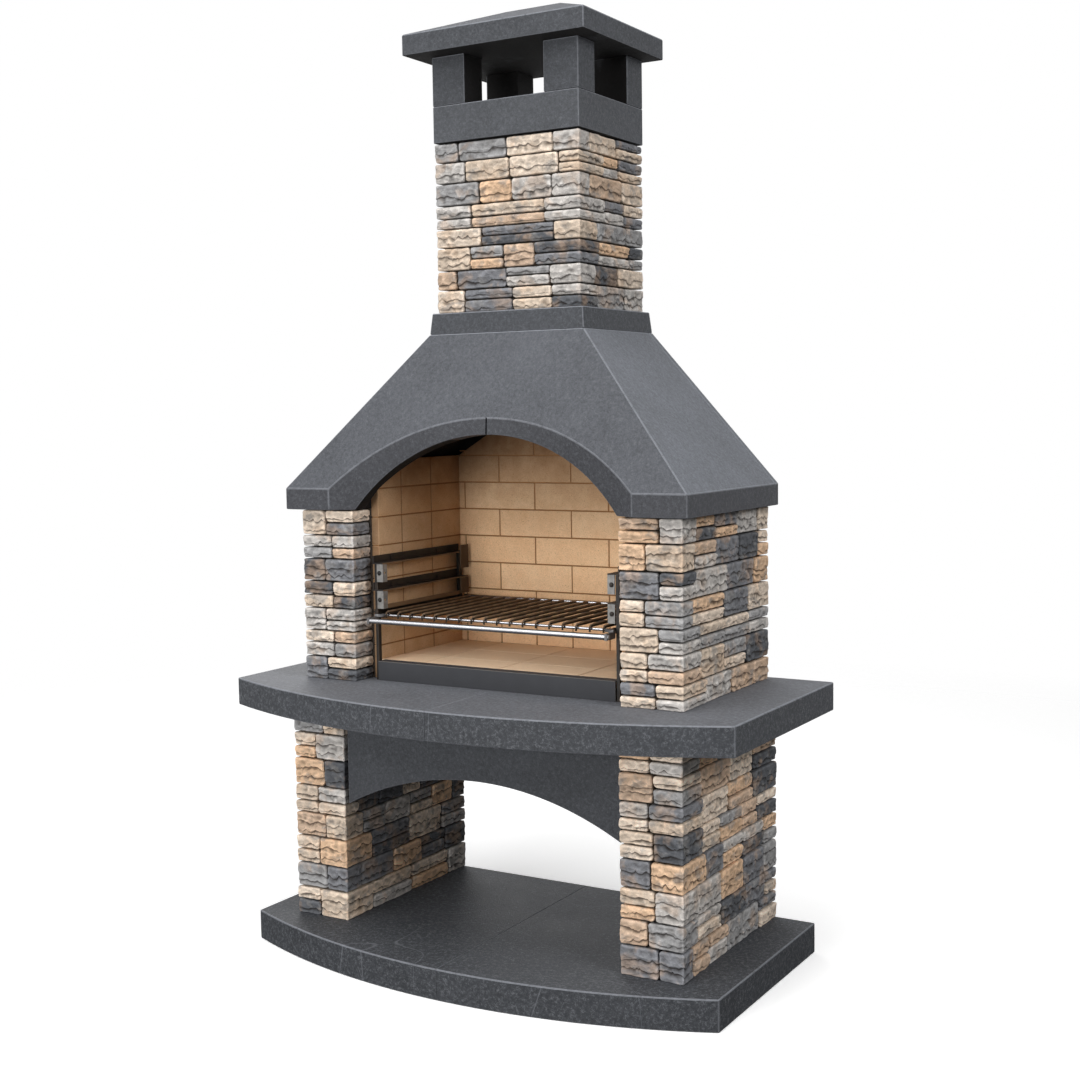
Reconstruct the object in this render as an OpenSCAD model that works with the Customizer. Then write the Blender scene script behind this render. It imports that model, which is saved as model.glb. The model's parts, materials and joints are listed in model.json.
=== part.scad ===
// Masonry barbecue: two stone-clad legs on a bowed base slab, a bowed worktop, stone-clad pillars round
// a firebrick chamber, an arched hood, a stone-clad chimney and a cap on four posts. Millimetres.
// The origin is on the ground under the middle of the worktop, +Z up, and the front faces -Y.

/* [Legs] */
// Width of one leg
leg_w = 157; // [130:1:220]
// Depth of one leg, front to back
leg_d = 524; // [420:1:640]
// Height of the legs between base slab and worktop
leg_h = 517; // [400:1:650]
// Clear width between the legs, where wood is kept
leg_gap = 745; // [600:1:900]
// Step from the rear edge of the worktop to the rear of the legs
leg_setback = 12; // [0:1:30]
// Courses of blocks in a leg's core
leg_blocks = 3; // [1:1:5]
// Thickness of the mortar between two blocks of a core
block_joint = 2; // [1:0.5:10]

/* [Base slab] */
// Thickness of the base slab
base_t = 72; // [50:1:110]
// How far the base slab stands out beside the legs
base_lip_side = 95; // [20:1:160]
// How far the base slab's corners stand out in front of the legs
base_lip_front = 32; // [10:1:80]
// How far the base slab's front bows out past its corners
base_bow = 134; // [60:1:200]

/* [Worktop] */
// Thickness of the worktop
worktop_t = 67; // [45:1:100]
// How far the worktop stands out beside the legs
worktop_lip_side = 137.5; // [60:0.5:200]
// How far the worktop's corners stand out in front of the legs
worktop_lip_front = 38.5; // [10:0.5:90]
// How far the worktop's front bows out past its corners
worktop_bow = 151.5; // [70:0.5:220]
// Joint between the two halves of a slab
slab_seam = 1; // [0.4:0.1:3]

/* [Arched apron] */
// Thickness of the apron panel
apron_t = 40; // [25:1:60]
// Step from the legs' front face back to the apron
apron_setback = 14; // [4:1:40]
// Height of the apron where it meets the legs
apron_drop = 229; // [160:1:300]
// Rise of the apron's arch
apron_rise = 95; // [50:1:130]
// Clearance of a panel that is let in between two others
panel_fit = 0.5; // [0.2:0.1:2]

/* [Pillars] */
// Width of one pillar
pillar_w = 157; // [130:1:220]
// Depth of one pillar, front to back
pillar_d = 474; // [440:1:520]
// Height of the pillars from worktop to hood
pillar_h = 417; // [380:1:480]
// Clear width between the pillars
chamber_gap = 717; // [620:1:800]
// Step from the rear edge of the worktop to the rear of pillars and hood
shell_setback = 24; // [0:1:60]
// Courses of blocks in a pillar's core
pillar_blocks = 2; // [1:1:4]

/* [Stone cladding] */
// Thickness of the stone slips
stone_t = 26; // [18:1:34]
// Width of the joints between stones
stone_joint = 3; // [2:0.5:8]
// Usual height of a course of stones in legs and pillars
stone_course = 62; // [45:1:80]
// Usual height of a course of stones in the chimney
chimney_course = 50; // [40:1:80]
// Usual length of a stone between two corner stones
stone_len = 122; // [70:1:160]
// Shortest leg of a corner stone on a wide face
corner_min = 52; // [40:1:70]
// Longest leg of a corner stone on a wide face
corner_max = 132; // [80:1:133]
// A face narrower than this has only its two corner stones
narrow_face = 250; // [240:1:280]
// How far a bed joint may stray from its even place
bed_stray = 4; // [0:0.5:8]
// Share of the stones that are two thin ones, one on the other
thin_share = 0.5; // [0:0.05:1]
// How far the flattest stones lie behind the proudest ones
stone_relief = 4; // [0:0.5:8]

/* [Fire chamber] */
// Thickness of the firebricks of the lining
brick_t = 21; // [15:1:30]
// Depth of the lined chamber from its front edge to the back wall
chamber_d = 355; // [320:1:370]
// Height of one course of firebricks
brick_course = 69.6; // [60:0.1:80]
// Length of a firebrick in the back wall, with its joint
brick_len = 213; // [160:1:260]
// Length of a firebrick in the side walls, with its joint
side_brick_len = 129; // [90:1:170]
// Width of the joints between firebricks
brick_joint = 3; // [1:0.5:5]
// Courses of the back wall below the hood's slope
back_courses = 7; // [6:1:7]
// Upper courses of the side walls that line up with the back wall
side_top_courses = 3; // [1:1:4]
// Lower courses of the side walls
side_low_courses = 4; // [2:1:6]
// How far the back wall's top course is cut in per millimetre of height
brick_rake = 1.68; // [1:0.01:2]
// Thickness of the concrete panel behind the back wall
rear_panel_t = 22; // [16:1:40]
// Thickness of the concrete slab under the hearth tiles
hearth_slab_t = 25; // [15:1:40]
// Thickness of the hearth tiles
tile_t = 22; // [15:1:35]
// Thickness of the steel of the sill
sill_t = 3; // [2:0.5:6]

/* [Grill racks] */
// Width of a runner, which the grill slides on
runner_w = 30; // [20:1:32]
// Height of a runner's leg against the wall
runner_leg = 20; // [12:1:24]
// Thickness of the runners' steel
runner_t = 3; // [2:0.5:4]
// Levels at which the grill can be put in
levels = 3; // [2:1:3]
// Height from one level to the next
level_pitch = 65; // [63:0.5:70]
// Height of the lowest runner above the worktop
rack_low = 153; // [150:1:190]
// How far the racks stand out in front of the lining
rack_reach = 28; // [22:1:36]
// Width of the upright bars
upright_w = 8; // [6:1:18]
// Thickness of the upright bars, front to back
upright_t = 12; // [8:1:16]
// Height of a front clip
clip_h = 43; // [30:1:45]
// Width and depth of a front clip
clip_w = 18; // [15:1:28]
// Radius of the holes in a clip
clip_hole_r = 4; // [2.5:0.5:5]
// Height of the tie bar along the lower clips
tie_h = 10; // [6:1:14]
// Length of a rear plate, front to back
rear_plate_w = 37; // [25:1:50]
// Height by which a rear plate hangs under its runner
rear_plate_drop = 41; // [30:1:41]
// Gap from the racks' rear end to the back wall
rack_rear_gap = 12; // [4:1:30]
// Radius of a screw's head
screw_head_r = 5.5; // [4.5:0.5:6.5]
// Height of a screw's head
screw_head_h = 2.5; // [1.5:0.5:4]
// Depth by which a screw reaches into what it holds
screw_grip = 8; // [4:1:10]

/* [Grill] */
// Diameter of the rods of the grill's frame
frame_rod = 7; // [5:0.5:8]
// How much thinner the rods across the frame are than its side rods
cross_rod_step = 0.5; // [0.5:0.5:2]
// Diameter of the grill's rear rod, which stands behind the wires' ends
rear_rod = 9; // [7:0.5:10]
// Diameter of the grill's wires
wire_rod = 8; // [6:0.5:9]
// Diameter of the wires' front ends, which are drawn thinner and turned down
hook_rod = 4.5; // [3:0.5:5]
// Number of wires from front to back
wires = 18; // [8:1:22]
// Number of cross rods between the front one and the rear one
cross_rods = 2; // [1:1:4]
// How far the wires' front ends reach down past the middle of the front rod
wire_drop = 6; // [4:1:12]
// Clearance between the grill and the uprights
grill_side_fit = 10; // [1:0.5:12]
// Clearance under the grill on its runners
grill_rest_fit = 0.3; // [0.2:0.1:0.6]
// Gap from the grill's rear end to the back wall
grill_rear_gap = 10.5; // [4:0.5:60]
// Diameter of the handle bar
handle_dia = 13; // [10:1:16]
// How far the handle bar lies in front of the grill's front rod
handle_reach = 40; // [30:1:60]
// Drop from the frame rods to the handle bar
handle_drop = 10; // [9:0.5:12]
// How far the plates that hold the handle bar stand out beyond the side rods
handle_overhang = 14; // [10:1:16]
// Diameter of the bar's ends, which go through the plates
handle_spigot = 8; // [5:0.5:9]
// Thickness of the plates that hold the handle bar
handle_plate = 6; // [4:1:8]
// Thickness of the caps at the handle bar's ends
handle_cap = 2; // [2:0.5:6]
// How far a cap stands out round the bar's end
handle_cap_lip = 1.5; // [0.5:0.5:3]

/* [Hood] */
// How far the hood stands out beside the pillars
hood_lip_side = 23.5; // [10:0.5:50]
// How far the hood stands out in front of the pillars
hood_lip_front = 27; // [10:0.5:50]
// Height of the upright band at the hood's foot
fascia_h = 51; // [30:1:80]
// Height of the hood from pillars to collar
hood_h = 415; // [380:1:480]
// Thickness of the hood's front, measured level
hood_front_t = 74; // [60:1:74]
// Step of the arch's feet inside the pillars
arch_step = 4.5; // [2:0.5:15]
// Rise of the hood's arch
arch_rise = 177; // [140:1:190]
// Width of the splay at the arch's feet
splay_foot = 54; // [30:1:70]
// Height of the splay at the arch's crown
splay_crown = 38; // [20:1:50]
// Depth of the splay at the arch's feet
splay_foot_depth = 34; // [15:1:45]
// Depth of the splay at the arch's crown
splay_crown_depth = 14; // [4:1:20]
// Width of the open joint at the crown of the arch
crown_joint = 4; // [2:0.5:8]

/* [Chimney] */
// Width of the chimney
chimney_w = 396; // [360:1:460]
// Depth of the chimney
chimney_d = 316; // [300:1:330]
// Height of the chimney's stonework
chimney_h = 400; // [300:1:600]
// Step from the rear of the hood to the rear of the chimney
chimney_setback = 16; // [0:1:30]
// Thickness of the flue blocks' walls
flue_wall = 42; // [30:1:50]
// Flue blocks, one on the other
flue_blocks = 2; // [1:1:4]
// Height of the collar between hood and chimney
collar_h = 50; // [30:1:80]
// How far the collar stands out round the chimney at its foot
collar_lip = 13; // [9:1:16]
// How far the collar's sides lean in
collar_batter = 5; // [0:1:8]
// Height of the ring on top of the stonework
ring_h = 86; // [50:1:120]

/* [Cap] */
// Width of one post
post_w = 91; // [60:1:110]
// Depth of one post
post_d = 78; // [50:1:100]
// Height of the posts
post_h = 114; // [60:1:160]
// How far the cap stands out beside the chimney
cap_lip_side = 46; // [20:1:80]
// How far the cap stands out in front of the chimney
cap_lip_front = 56; // [20:1:80]
// How far the cap stands out behind the chimney
cap_lip_rear = 21; // [0:1:40]
// Height of the cap's edge
cap_t = 48; // [30:1:80]
// Rise of the cap's top from its edge to its ridge
cap_rise = 70; // [20:1:100]
// Length of the cap's ridge
cap_ridge = 150; // [60:1:200]

/* [Hidden] */
$fn = 48;
concrete = [0.27, 0.28, 0.30];
block_grey = [0.55, 0.55, 0.53];
firebrick = [0.76, 0.60, 0.42];
black_steel = [0.09, 0.09, 0.10];
plate_steel = [0.55, 0.55, 0.56];
bright_steel = [0.80, 0.80, 0.82];
stone_colours = [
    [0.34, 0.35, 0.37],
    [0.62, 0.61, 0.60],
    [0.83, 0.71, 0.56],
    [0.48, 0.47, 0.47],
    [0.77, 0.74, 0.70],
    [0.72, 0.58, 0.44]
];
far = 2000;
bite = 1;

// Plan of the whole, from back to front
worktop_side_d = leg_setback + leg_d + worktop_lip_front;
worktop_d = worktop_side_d + worktop_bow;
rear_y = worktop_d / 2;
leg_back = rear_y - leg_setback;
leg_front = leg_back - leg_d;
leg_in = leg_gap / 2;
leg_out = leg_in + leg_w;
base_half = leg_out + base_lip_side;
worktop_half = leg_out + worktop_lip_side;
shell_back = rear_y - shell_setback;
pillar_front = shell_back - pillar_d;
pillar_in = chamber_gap / 2;
pillar_out = pillar_in + pillar_w;
brick_back = shell_back - rear_panel_t;
chamber_back = brick_back - brick_t;
lining_front = chamber_back - chamber_d;
lining_in = pillar_in - brick_t;
return_d = lining_front - pillar_front;

// Heights
leg_z = base_t;
worktop_z = leg_z + leg_h;
top_z = worktop_z + worktop_t;
floor_z = top_z + hearth_slab_t + tile_t;
hood_z = top_z + pillar_h;
hood_top_z = hood_z + hood_h;
fascia_z = hood_z + fascia_h;
lining_top = floor_z + back_courses * brick_course;
chimney_z = hood_top_z + collar_h;
ring_z = chimney_z + chimney_h;
post_z = ring_z + ring_h;
cap_z = post_z + post_h;
apron_tip_z = worktop_z - apron_drop;

// Chimney and hood
chimney_half = chimney_w / 2;
chimney_back = shell_back - chimney_setback;
chimney_front = chimney_back - chimney_d;
flue_inset = stone_t + flue_wall;
flue_half = chimney_half - flue_inset;
flue_front = chimney_front + flue_inset;
flue_back = chimney_back - flue_inset;
hood_half = pillar_out + hood_lip_side;
hood_front = pillar_front - hood_lip_front;
hood_top_half = chimney_half + collar_lip;
hood_top_front = chimney_front - collar_lip;
front_slope = (hood_top_front - hood_front) / (hood_top_z - fascia_z);
throat_front = hood_top_front + hood_front_t;

// Arches: radius of the circle through the two feet and the crown
function arch_r(half, rise) = (half * half + rise * rise) / (2 * rise);
arch_half = pillar_in - arch_step;
arch_in_r = arch_r(arch_half, arch_rise);
arch_in_z = hood_z + arch_rise - arch_in_r;
splay_half = arch_half + splay_foot;
splay_top = hood_z + arch_rise + splay_crown;
arch_out_r = arch_r(splay_half, splay_top - fascia_z);
arch_out_z = splay_top - arch_out_r;
splay_steps = 20;
apron_r = arch_r(leg_in, apron_rise);

// Racks and grill
rack_front = lining_front - rack_reach;
rack_back = chamber_back - rack_rear_gap;
shelf_in = lining_in - runner_w;
upright_out = lining_in - runner_t;
upright_in = upright_out - upright_w;
upright_front = rack_front + runner_t;
bar_x = upright_in - grill_side_fit - frame_rod / 2;
function runner_z(level) = top_z + rack_low + level * level_pitch;
frame_z = runner_z(0) + runner_t + grill_rest_fit + frame_rod / 2;
grill_front = upright_front + frame_rod / 2 - 1.5;
grill_back = chamber_back - grill_rear_gap - rear_rod / 2;
grill_len = grill_back - grill_front;
cross_rod = frame_rod - cross_rod_step;
wire_z = frame_z + cross_rod / 2 + wire_rod / 2 + 0.1;
wire_back = grill_back - rear_rod / 2 - 0.3;
rod_weld = 1;
rear_rod_z = frame_z + (frame_rod + rear_rod) / 2 - rod_weld;
hook_taper = 2.5;
hook_bend = 5;
handle_y = grill_front - handle_reach;
handle_z = frame_z - handle_drop;
spigot_hole_r = handle_spigot / 2 + 0.05;
plate_out = bar_x + handle_overhang;
plate_back = upright_front - 4;
plate_half = handle_dia / 2 + 0.5;
arm_d = 10;
arm_inset = 0.5;

// Puts a child that is drawn on the right on the left as well or instead
module on_left() {
    mirror([1, 0, 0]) children();
}

// A prism whose outline is drawn in X and Z
module prism_y(points, y_low, y_high) {
    translate([0, y_high, 0])
        rotate([90, 0, 0])
            linear_extrude(y_high - y_low)
                polygon(points);
}

// A prism whose outline is drawn in Y and Z
module prism_x(points, x_low, x_high) {
    translate([x_low, 0, 0])
        rotate([90, 0, 90])
            linear_extrude(x_high - x_low)
                polygon(points);
}

// A box from its lowest corner to its highest corner
module block(low, high) {
    translate(low) cube(high - low);
}

// A slab with straight sides and back and a front edge that is one arc, its rear edge on y = 0
module bowed_slab(half, side_d, bow, thick) {
    depth = side_d + bow;
    r = arch_r(half, bow);
    linear_extrude(thick)
        intersection() {
            translate([-half, -depth]) square([2 * half, depth]);
            translate([0, r - depth]) circle(r, $fn = 360);
        }
}

// The right half of its children, short of the seam
module right_half(seam) {
    intersection() {
        children();
        block([seam / 2, -far, -far], [far, far, 2 * far]);
    }
}

module base_half_slab() {
    color(concrete)
        right_half(slab_seam)
            translate([0, leg_back, 0])
                bowed_slab(base_half, leg_d + base_lip_front, base_bow, base_t);
}

module worktop_half_slab() {
    color(concrete)
        right_half(slab_seam)
            translate([0, rear_y, worktop_z])
                bowed_slab(worktop_half, worktop_side_d, worktop_bow, worktop_t);
}

module arched_apron() {
    low_y = leg_front + apron_setback;
    half = leg_in - panel_fit;
    color(concrete)
        difference() {
            block([-half, low_y, apron_tip_z], [half, low_y + apron_t, worktop_z]);
            translate([0, low_y + apron_t + bite, apron_tip_z + apron_rise - apron_r])
                rotate([90, 0, 0])
                    cylinder(h = apron_t + 2 * bite, r = apron_r, $fn = 240);
        }
}

// Stonework: an even number between 0 and 1 for each stone, the same each time
function chance(a, b, c) = let (v = sin(a * 127.1 + b * 311.7 + c * 74.7) * 43758.5) v - floor(v);

// Height of bed joint i of n in a wall of height h
function bed_z(i, n, h, seed) =
    h * i / n + (i == 0 || i == n ? 0 : bed_stray * (2 * chance(i, 7, seed) - 1));

// Length of a corner stone's leg at the low end (k = 0) or the high end (k = 1) of a face
function narrow_cut(i, seed) = (i % 2 == 0 ? 0.57 : 0.43) + 0.1 * (chance(i, 3, seed) - 0.5);
function corner_leg(i, k, face, seed) = face < narrow_face
    ? abs(k - narrow_cut(i, seed)) * face - stone_joint / 2
    : corner_min + (corner_max - corner_min) * chance(i, 11 + k, seed);

// Foot and height of the one or two stones that fill a course's height
function layers(h, i, j, seed) =
    let (cut = h * (0.42 + 0.16 * chance(j, i, seed)), half_joint = stone_joint / 2)
    chance(i, j, seed) < thin_share
        ? [[0, cut - half_joint], [cut + half_joint, h - cut - half_joint]]
        : [[0, h]];

function stone_colour(i, j, seed) = stone_colours[floor(chance(i + 5, j + 3, seed) * len(stone_colours))];

// A corner stone with its outer corner at the origin and its legs along +X and +Y
module corner_stone(leg_x, leg_y, i, j, h, seed) {
    for (k = [0 : len(layers(h, i, j, seed)) - 1]) {
        layer = layers(h, i, j, seed)[k];
        color(stone_colour(i, j + k, seed))
            translate([0, 0, layer[0]])
                linear_extrude(layer[1])
                    polygon(leg_y > stone_t
                        ? [[0, 0], [leg_x, 0], [leg_x, stone_t], [stone_t, stone_t], [stone_t, leg_y], [0, leg_y]]
                        : [[0, 0], [leg_x, 0], [leg_x, stone_t], [0, stone_t]]);
    }
}

// The stones between two corner stones, along +X with their faces on y = 0
module stone_row(face, low_leg, high_leg, i, h, seed) {
    start = low_leg + stone_joint;
    free = face - low_leg - high_leg - stone_joint;
    count = free < corner_min / 2 ? 0 : max(1, round(free / (stone_len * (0.8 + 0.4 * chance(i, 19, seed)))));
    for (j = [0 : 1 : count - 1]) {
        shift_low = j == 0 ? 0 : 0.3 * (chance(i, j + 31, seed) - 0.5);
        shift_high = j == count - 1 ? 0 : 0.3 * (chance(i, j + 32, seed) - 0.5);
        low = start + free * (j + shift_low) / count;
        high = start + free * (j + 1 + shift_high) / count - stone_joint;
        stack = layers(h, i, j + 41, seed);
        for (k = [0 : len(stack) - 1]) {
            sunk = stone_relief * chance(i + k, j + 51, seed);
            color(stone_colour(i, j + k + 61, seed))
                translate([low, sunk, stack[k][0]])
                    cube([high - low, stone_t - sunk, stack[k][1]]);
        }
    }
}

// Cladding of a rectangular pillar whose front left corner is at the origin. An open one has no
// stones on its left side past the return beside its front.
module cladding(w, d, h, course, seed, open = false, open_return = 0) {
    n = max(2, round(h / course));
    for (i = [0 : n - 1]) {
        low = bed_z(i, n, h, seed) + (i == 0 ? 0 : stone_joint / 2);
        high = bed_z(i + 1, n, h, seed) - (i == n - 1 ? stone_joint : stone_joint / 2);
        tall = high - low;
        front = [corner_leg(i, 0, w, seed + 1), corner_leg(i, 1, w, seed + 1)];
        rear = [corner_leg(i, 0, w, seed + 2), corner_leg(i, 1, w, seed + 2)];
        right = [corner_leg(i, 0, d, seed + 3), corner_leg(i, 1, d, seed + 3)];
        left = open
            ? [open_return, stone_t]
            : [corner_leg(i, 0, d, seed + 4), corner_leg(i, 1, d, seed + 4)];
        translate([0, 0, low]) {
            corner_stone(front[0], left[0], i, 71, tall, seed);
            translate([w, 0, 0])
                mirror([1, 0, 0])
                    corner_stone(front[1], right[0], i, 73, tall, seed);
            translate([w, d, 0])
                rotate([0, 0, 180])
                    corner_stone(rear[1], right[1], i, 77, tall, seed);
            translate([0, d, 0])
                mirror([0, 1, 0])
                    corner_stone(rear[0], left[1], i, 79, tall, seed);
            stone_row(w, front[0], front[1], i, tall, seed + 1);
            translate([w, d, 0])
                rotate([0, 0, 180])
                    stone_row(w, rear[1], rear[0], i, tall, seed + 2);
            translate([w, 0, 0])
                rotate([0, 0, 90])
                    stone_row(d, right[0], right[1], i, tall, seed + 3);
            if (!open)
                translate([0, d, 0])
                    rotate([0, 0, -90])
                        stone_row(d, left[1], left[0], i, tall, seed + 4);
        }
    }
}

// A stack of equal blocks with the outline of its children
module block_stack(h, count) {
    pitch = (h + block_joint) / count;
    for (i = [0 : count - 1])
        translate([0, 0, pitch * i])
            linear_extrude(pitch - block_joint)
                children();
}

module leg_blocks_right() {
    color(block_grey)
        translate([leg_in + stone_t, leg_front + stone_t, leg_z])
            block_stack(leg_h, leg_blocks)
                square([leg_w - 2 * stone_t, leg_d - 2 * stone_t]);
}

module leg_stones_right(seed) {
    translate([leg_in, leg_front, leg_z])
        cladding(leg_w, leg_d, leg_h, stone_course, seed);
}

module pillar_blocks_right() {
    color(block_grey)
        translate([pillar_in, pillar_front, top_z])
            block_stack(pillar_h, pillar_blocks)
                polygon([
                    [0, return_d],
                    [stone_t, return_d],
                    [stone_t, stone_t],
                    [pillar_w - stone_t, stone_t],
                    [pillar_w - stone_t, pillar_d - stone_t],
                    [0, pillar_d - stone_t]
                ]);
}

module pillar_stones_right(seed) {
    translate([pillar_in, pillar_front, top_z])
        cladding(pillar_w, pillar_d, pillar_h, stone_course, seed, true, return_d);
}

module chamber_rear_panel() {
    half = pillar_in - panel_fit;
    color(concrete)
        block([-half, brick_back, top_z], [half, shell_back, hood_z]);
}

module hearth_slab() {
    color(block_grey)
        block([-lining_in, lining_front, top_z], [lining_in, chamber_back, top_z + hearth_slab_t]);
}

// Cuts of a row of equal bricks: an even grid from the middle of the row out to its two ends
function grid_cuts(half, pitch, shift) =
    let (n = ceil(half / pitch))
    concat(
        [-half],
        [for (i = [-n : n]) if (abs((i + shift) * pitch) < half - brick_t / 2) (i + shift) * pitch],
        [half]
    );

module hearth_tiles() {
    across = grid_cuts(lining_in, brick_len, 0);
    along = side_cuts(chamber_back);
    color(firebrick)
        for (i = [0 : len(across) - 2])
            for (j = [0 : len(along) - 2])
                block(
                    [across[i] + (i == 0 ? 0 : brick_joint / 2), along[j] + (j == 0 ? 0 : brick_joint / 2), floor_z - tile_t],
                    [
                        across[i + 1] - (i == len(across) - 2 ? 0 : brick_joint / 2),
                        along[j + 1] - (j == len(along) - 2 ? 0 : brick_joint / 2),
                        floor_z
                    ]
                );
}

// Cuts of the side walls from their front edge back: whole bricks are counted from the back wall
function side_cuts(last) =
    let (n = floor(chamber_d / side_brick_len))
    concat(
        [lining_front],
        [
            for (i = [n : -1 : 1])
                if (chamber_back - i * side_brick_len > lining_front + brick_t)
                    chamber_back - i * side_brick_len
        ],
        [last]
    );

side_split_z = lining_top - side_top_courses * brick_course;
function side_bed(i) = i <= side_low_courses
    ? top_z + (side_split_z - top_z) * i / side_low_courses
    : side_split_z + (i - side_low_courses) * brick_course;

module lining_right() {
    cuts = side_cuts(brick_back);
    n = side_low_courses + side_top_courses;
    color(firebrick)
        for (i = [0 : n - 1])
            for (j = [0 : len(cuts) - 2])
                block(
                    [lining_in, cuts[j] + (j == 0 ? 0 : brick_joint / 2), side_bed(i) + (i == 0 ? 0 : brick_joint / 2)],
                    [
                        pillar_in,
                        cuts[j + 1] - (j == len(cuts) - 2 ? 0 : brick_joint / 2),
                        side_bed(i + 1) - (i == n - 1 ? 0 : brick_joint / 2)
                    ]
                );
}

// The back wall: a first course of half bricks, then whole ones in half bond, and a top course
// that is cut to the hood's slope
module lining_back() {
    top = lining_top + brick_course;
    cut_in = brick_rake * brick_course;
    color(firebrick)
        intersection() {
            for (i = [0 : back_courses]) {
                pitch = i == 0 ? brick_len / 2 : brick_len;
                cuts = grid_cuts(lining_in, pitch, i == 0 || i % 2 == 0 ? 0 : 0.5);
                low = floor_z + i * brick_course + (i == 0 ? 0 : brick_joint / 2);
                high = floor_z + (i + 1) * brick_course - brick_joint / 2;
                for (j = [0 : len(cuts) - 2])
                    block(
                        [cuts[j] + (j == 0 ? 0 : brick_joint / 2), chamber_back, low],
                        [cuts[j + 1] - (j == len(cuts) - 2 ? 0 : brick_joint / 2), brick_back, high]
                    );
            }
            prism_y([
                [-lining_in, floor_z],
                [lining_in, floor_z],
                [lining_in, lining_top],
                [lining_in - cut_in, top],
                [cut_in - lining_in, top],
                [-lining_in, lining_top]
            ], chamber_back, brick_back);
        }
}

module sill_strip() {
    half = upright_in - 1;
    color(black_steel)
        prism_x([
            [rack_front - 2, top_z],
            [rack_front - 2 + sill_t, top_z],
            [rack_front - 2 + sill_t, floor_z - sill_t],
            [lining_front, floor_z - sill_t],
            [lining_front, floor_z],
            [rack_front - 2, floor_z]
        ], -half, half);
}

// Bars at the front from the worktop to the lowest runner and from runner to runner, and at the
// rear from runner to runner
module uprights_right() {
    color(black_steel) {
        block([upright_in, upright_front, top_z], [upright_out, upright_front + upright_t, runner_z(0)]);
        for (level = [0 : levels - 2])
            for (y = [upright_front, rack_back - upright_t])
                block(
                    [upright_in, y, runner_z(level) + runner_t],
                    [upright_out, y + upright_t, runner_z(level + 1)]
                );
    }
}

// Screws that hold a runner to the side wall: their distance from the runner's front end
screw_places = [70, 270];
screw_hole_r = 2.5;

// One angle for each level, and a tie bar along the foot of the lower clips
module runners_right() {
    color(black_steel) {
        for (level = [0 : levels - 1])
            difference() {
                prism_y([
                    [shelf_in, runner_z(level)],
                    [lining_in, runner_z(level)],
                    [lining_in, runner_z(level) + runner_leg],
                    [upright_out, runner_z(level) + runner_leg],
                    [upright_out, runner_z(level) + runner_t],
                    [shelf_in, runner_z(level) + runner_t]
                ], level == 0 ? upright_front : rack_front, rack_back);
                for (place = screw_places)
                    translate([upright_out - bite, upright_front + place, runner_z(level) + runner_leg / 2])
                        rotate([0, 90, 0])
                            cylinder(h = runner_t + 2 * bite, r = screw_hole_r);
            }
        tie_z = runner_z(1) - clip_h;
        block(
            [shelf_in, rack_front + clip_w, tie_z],
            [shelf_in + runner_t, rack_back - rear_plate_w, tie_z + tie_h]
        );
    }
}

// An angle under the front end of a runner, with a hole in its front and in its side
module clips_right() {
    color(plate_steel)
        for (level = [1 : levels - 1]) {
            foot = runner_z(level) - clip_h;
            difference() {
                translate([0, 0, foot])
                    linear_extrude(clip_h)
                        polygon([
                            [shelf_in, rack_front],
                            [shelf_in + clip_w, rack_front],
                            [shelf_in + clip_w, upright_front],
                            [shelf_in + runner_t, upright_front],
                            [shelf_in + runner_t, rack_front + clip_w],
                            [shelf_in, rack_front + clip_w]
                        ]);
                translate([shelf_in + clip_w / 2 + runner_t / 2, upright_front + bite, foot + clip_h / 2])
                    rotate([90, 0, 0])
                        cylinder(h = runner_t + 2 * bite, r = clip_hole_r);
                translate([shelf_in - bite, rack_front + clip_w / 2, foot + clip_h / 2])
                    rotate([0, 90, 0])
                        cylinder(h = runner_t + 2 * bite, r = clip_hole_r);
            }
        }
}

// Plates on the inner edge of the runners at the rear
module rear_plates_right() {
    color(black_steel)
        for (level = [1 : levels - 1])
            block(
                [shelf_in - runner_t, rack_back - rear_plate_w, runner_z(level) - rear_plate_drop],
                [shelf_in, rack_back, level == levels - 1 ? runner_z(level) + runner_leg : runner_z(level)]
            );
}

// A screw along +X with its head's underside at the origin
module screw(r) {
    rotate([0, -90, 0])
        cylinder(h = screw_head_h, r = screw_head_r, $fn = 32);
    rotate([0, 90, 0])
        cylinder(h = runner_t, r = r, $fn = 24);
}

module screws_right() {
    color(plate_steel)
        for (level = [0 : levels - 1])
            for (place = screw_places)
                translate([upright_out, upright_front + place, runner_z(level) + runner_leg / 2])
                    screw(screw_hole_r - 0.05);
}

module rack_screws() {
    screws_right();
    on_left() screws_right();
}

// Hood: outside and cavity are each where a front elevation and a side elevation meet
module hood_outside() {
    intersection() {
        prism_y([
            [-hood_half, hood_z],
            [hood_half, hood_z],
            [hood_half, fascia_z],
            [hood_top_half, hood_top_z],
            [-hood_top_half, hood_top_z],
            [-hood_half, fascia_z]
        ], hood_front, shell_back);
        prism_x([
            [hood_front, hood_z],
            [shell_back, hood_z],
            [shell_back, hood_top_z],
            [hood_top_front, hood_top_z],
            [hood_front, fascia_z]
        ], -hood_half, hood_half);
    }
}

module hood_cavity() {
    intersection() {
        prism_y([
            [-pillar_in, hood_z - bite],
            [pillar_in, hood_z - bite],
            [pillar_in, lining_top],
            [flue_half, hood_top_z],
            [flue_half, hood_top_z + bite],
            [-flue_half, hood_top_z + bite],
            [-flue_half, hood_top_z],
            [-pillar_in, lining_top]
        ], hood_front, shell_back);
        prism_x([
            [hood_front + hood_front_t, hood_z - bite],
            [brick_back, hood_z - bite],
            [brick_back, hood_top_z + bite],
            [throat_front, hood_top_z + bite],
            [throat_front, hood_top_z],
            [hood_front + hood_front_t, fascia_z]
        ], -pillar_in, pillar_in);
    }
}

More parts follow.
